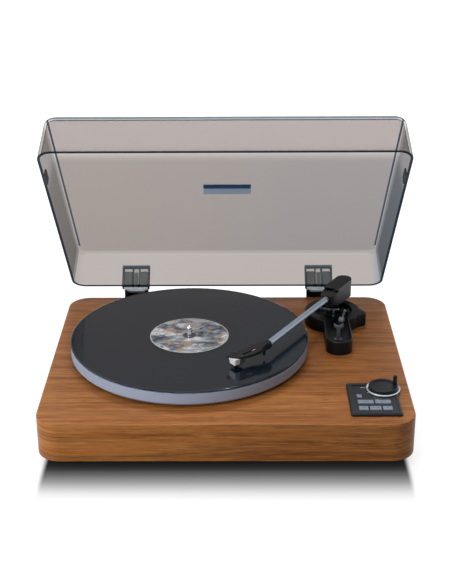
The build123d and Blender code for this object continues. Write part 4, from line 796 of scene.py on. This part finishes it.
# four leads from the headshell's root to the cartridge's pins; each point is
# (ahead, aside, up) from the root, in millimetres
leadLook = dict(root=(0.05017, -0.066526, 0.097), radius=0.00042, leads=[
    ("leadGreen", (20, 110, 84),
     [(12, -1.6, -0.6), (18, -3.4, -1.6), (25, -4.2, -3.4), (31, -2.9, -4.6), (35, -2.5, -4.1)]),
    ("leadWhite", (214, 214, 208),
     [(12, -0.6, -0.4), (17, 0.2, -0.4), (24, -0.8, -2.2), (30, -2.2, -6.4), (35, -2.5, -7.1)]),
    ("leadRed", (150, 40, 36),
     [(12, 0.4, -0.6), (18, 2.4, -0.8), (25, 4.0, -2.6), (31, 3.0, -4.5), (35, 2.5, -4.1)]),
    ("leadBlue", (40, 84, 150),
     [(12, 1.4, -0.6), (19, 4.4, -1.6), (26, 5.4, -4.4), (31, 3.6, -7.0), (35, 2.5, -7.1)]),
])


def smoothPath(points, steps=6):
    path = []
    padded = [points[0] * 2 - points[1], *points, points[-1] * 2 - points[-2]]
    for a, b, c, d in zip(padded, padded[1:], padded[2:], padded[3:]):
        for step in range(steps):
            t = step / steps
            path.append(0.5 * (2 * b + (c - a) * t + (2 * a - 5 * b + 4 * c - d) * t * t
                               + (3 * b - a - 3 * c + d) * t ** 3))
    return [*path, points[-1]]


def makeLeads(look):
    root = Vector(look["root"])
    aside = Vector((-headshellAhead.y, headshellAhead.x, 0))
    for name, rgb, points in look["leads"]:
        path = smoothPath([root + (headshellAhead * u + aside * v + Vector((0, 0, w))) / 1000
                           for u, v, w in points])
        addPiece(name, tubeMesh(name, path, look["radius"]), moulded(name, rgb, rough=0.4),
                 "arm_tilt")


makeLeads(leadLook)
print("small pieces made")


# what the camera sees, directly, mirrored or through the lid
def seenRays(tree):
    path = tree.nodes.new("ShaderNodeLightPath")
    seen = path.outputs["Is Camera Ray"]
    for kind in ("Glossy", "Transmission"):
        seen = mathNode(tree, "MAXIMUM", seen, path.outputs["Is " + kind + " Ray"])
    return seen


# white floor with a painted shadow that darkens towards the front of the plinth
floorLook = dict(
    size=6.0, color=(150, 150, 151), near=(228, 228, 229), far=(254, 254, 254), glow=(0.35, 1.6),
    shadeStart=0.018, shadeLength=0.100, sideInset=0.008, sideFade=0.004,
    shade=[(0.0, 0.01), (0.10, 0.022), (0.17, 0.047), (0.29, 0.15), (0.42, 0.32),
           (0.54, 0.54), (0.66, 0.75), (0.78, 0.89), (0.9, 0.97), (1.0, 1.0)])


def makeFloor(look):
    mesh = bpy.data.meshes.new("floor")
    bm = bmesh.new()
    bmesh.ops.create_grid(bm, x_segments=2, y_segments=2, size=look["size"])
    bm.to_mesh(mesh)
    bm.free()
    floor = bpy.data.objects.new("floor", mesh)
    bpy.context.scene.collection.objects.link(floor)
    material, tree, shader, coords = newMaterial("floor")
    place = coords.outputs["Object"]
    x, y, _ = separate(tree, place)
    # painted shadow: a ramp darkens the colour and the glow under the plinth and in front of it,
    # but not beside or behind it
    start = plinthLow.y + look["shadeStart"]
    ahead = mathNode(tree, "SUBTRACT", start, y)
    reach = mathNode(tree, "DIVIDE", ahead, look["shadeLength"], clamp=True)
    shade = ramp(tree, reach, look["shade"])
    sideways = mathNode(tree, "ABSOLUTE", mathNode(tree, "SUBTRACT", x, plinthMiddle.x))
    half = (plinthHigh.x - plinthLow.x) / 2 - look["sideInset"]
    beside = rising(tree, sideways, half - look["sideFade"], half + look["sideFade"])
    clearOf = mathNode(tree, "MAXIMUM", beside, above(tree, y, plinthHigh.y))
    shade = mixColor(tree, clearOf, shade, (1.0, 1.0, 1.0, 1.0))
    tree.links.new(mixColor(tree, 1.0, shade, linear(look["color"]), "MULTIPLY"),
                   shader.inputs["Base Color"])
    away = rising(tree, vectorMath(tree, "LENGTH", place)["Value"], *look["glow"])
    glow = mixColor(tree, away, linear(look["near"]), linear(look["far"]))
    glow = mixColor(tree, 1.0, shade, glow, "MULTIPLY")
    tree.links.new(mixColor(tree, seenRays(tree), (0.0, 0.0, 0.0, 1.0), glow),
                   shader.inputs["Emission Color"])
    shader.inputs["Emission Strength"].default_value = 1.0
    shader.inputs["Roughness"].default_value = 0.6
    shader.inputs["Specular IOR Level"].default_value = 0.1
    mesh.materials.append(material)


def makeLamp(name, look):
    data = bpy.data.lights.new(name, "AREA")
    data.energy = look["power"]
    data.shape = "RECTANGLE"
    data.size, data.size_y = look["size"]
    lamp = bpy.data.objects.new(name, data)
    lamp.location = look["place"]
    aim = Vector(look["target"]) - Vector(look["place"])
    lamp.rotation_euler = aim.to_track_quat("-Z", "Y").to_euler()
    bpy.context.scene.collection.objects.link(lamp)


lampLook = {
    "keyLamp": dict(power=34.0, size=(0.75, 0.55),
                    place=(0.0, 0.95, 1.95), target=(0, 0, 0.06)),
    "stripLamp": dict(power=2.4, size=(1.0, 0.24),
                      place=(0.0, -0.32, 1.15), target=(0, -0.07, 0.34)),
    "frontLamp": dict(power=9.0, size=(0.7, 0.6),
                      place=(-0.85, -0.80, 0.42), target=(-0.1, -0.15, 0.03)),
}


# white where it is seen or mirrored, and a grey that rises with height for the light it gives
worldLook = dict(levels=[(0.0, 0.06), (0.35, 0.12), (0.6, 0.28), (1.0, 0.46)], seen=(1, 1, 1, 1))


def makeWorld(look):
    world = bpy.data.worlds.new("studio")
    bpy.context.scene.world = world
    world.use_nodes = True
    tree = world.node_tree
    tree.nodes.clear()
    tree.nodes.new("ShaderNodeOutputWorld")
    plain = tree.nodes.new("ShaderNodeBackground")
    white = tree.nodes.new("ShaderNodeBackground")
    coords = tree.nodes.new("ShaderNodeTexCoord")
    up = separate(tree, coords.outputs["Generated"])["Z"]
    tree.links.new(ramp(tree, up, look["levels"]), plain.inputs["Color"])
    white.inputs["Color"].default_value = look["seen"]
    for background in (plain, white):
        background.inputs["Strength"].default_value = 1.0
    mixShaders(tree, seenRays(tree), plain, white)


makeFloor(floorLook)
makeWorld(worldLook)
for lampName, look in lampLook.items():
    makeLamp(lampName, look)

cameraLook = dict(
    place=(0.01231, -1.35865, 0.73527), lens=72.765, sensorHeight=36.0,
    right=(0.99996, 0.00686, -0.00549), up=(0.00227, 0.40238, 0.91547),
    forward=(-0.00849, 0.91545, -0.40235))


def makeCamera(look):
    data = bpy.data.cameras.new("camera")
    data.sensor_fit = "VERTICAL"
    data.sensor_height = look["sensorHeight"]
    data.lens = look["lens"]
    camera = bpy.data.objects.new("camera", data)
    backward = tuple(-v for v in look["forward"])
    axes = Matrix((look["right"], look["up"], backward)).transposed()
    camera.matrix_world = Matrix.Translation(look["place"]) @ axes.to_4x4()
    bpy.context.scene.collection.objects.link(camera)
    bpy.context.scene.camera = camera


makeCamera(cameraLook)
bpy.context.scene.view_settings.view_transform = "Standard"
print("stage and camera set")
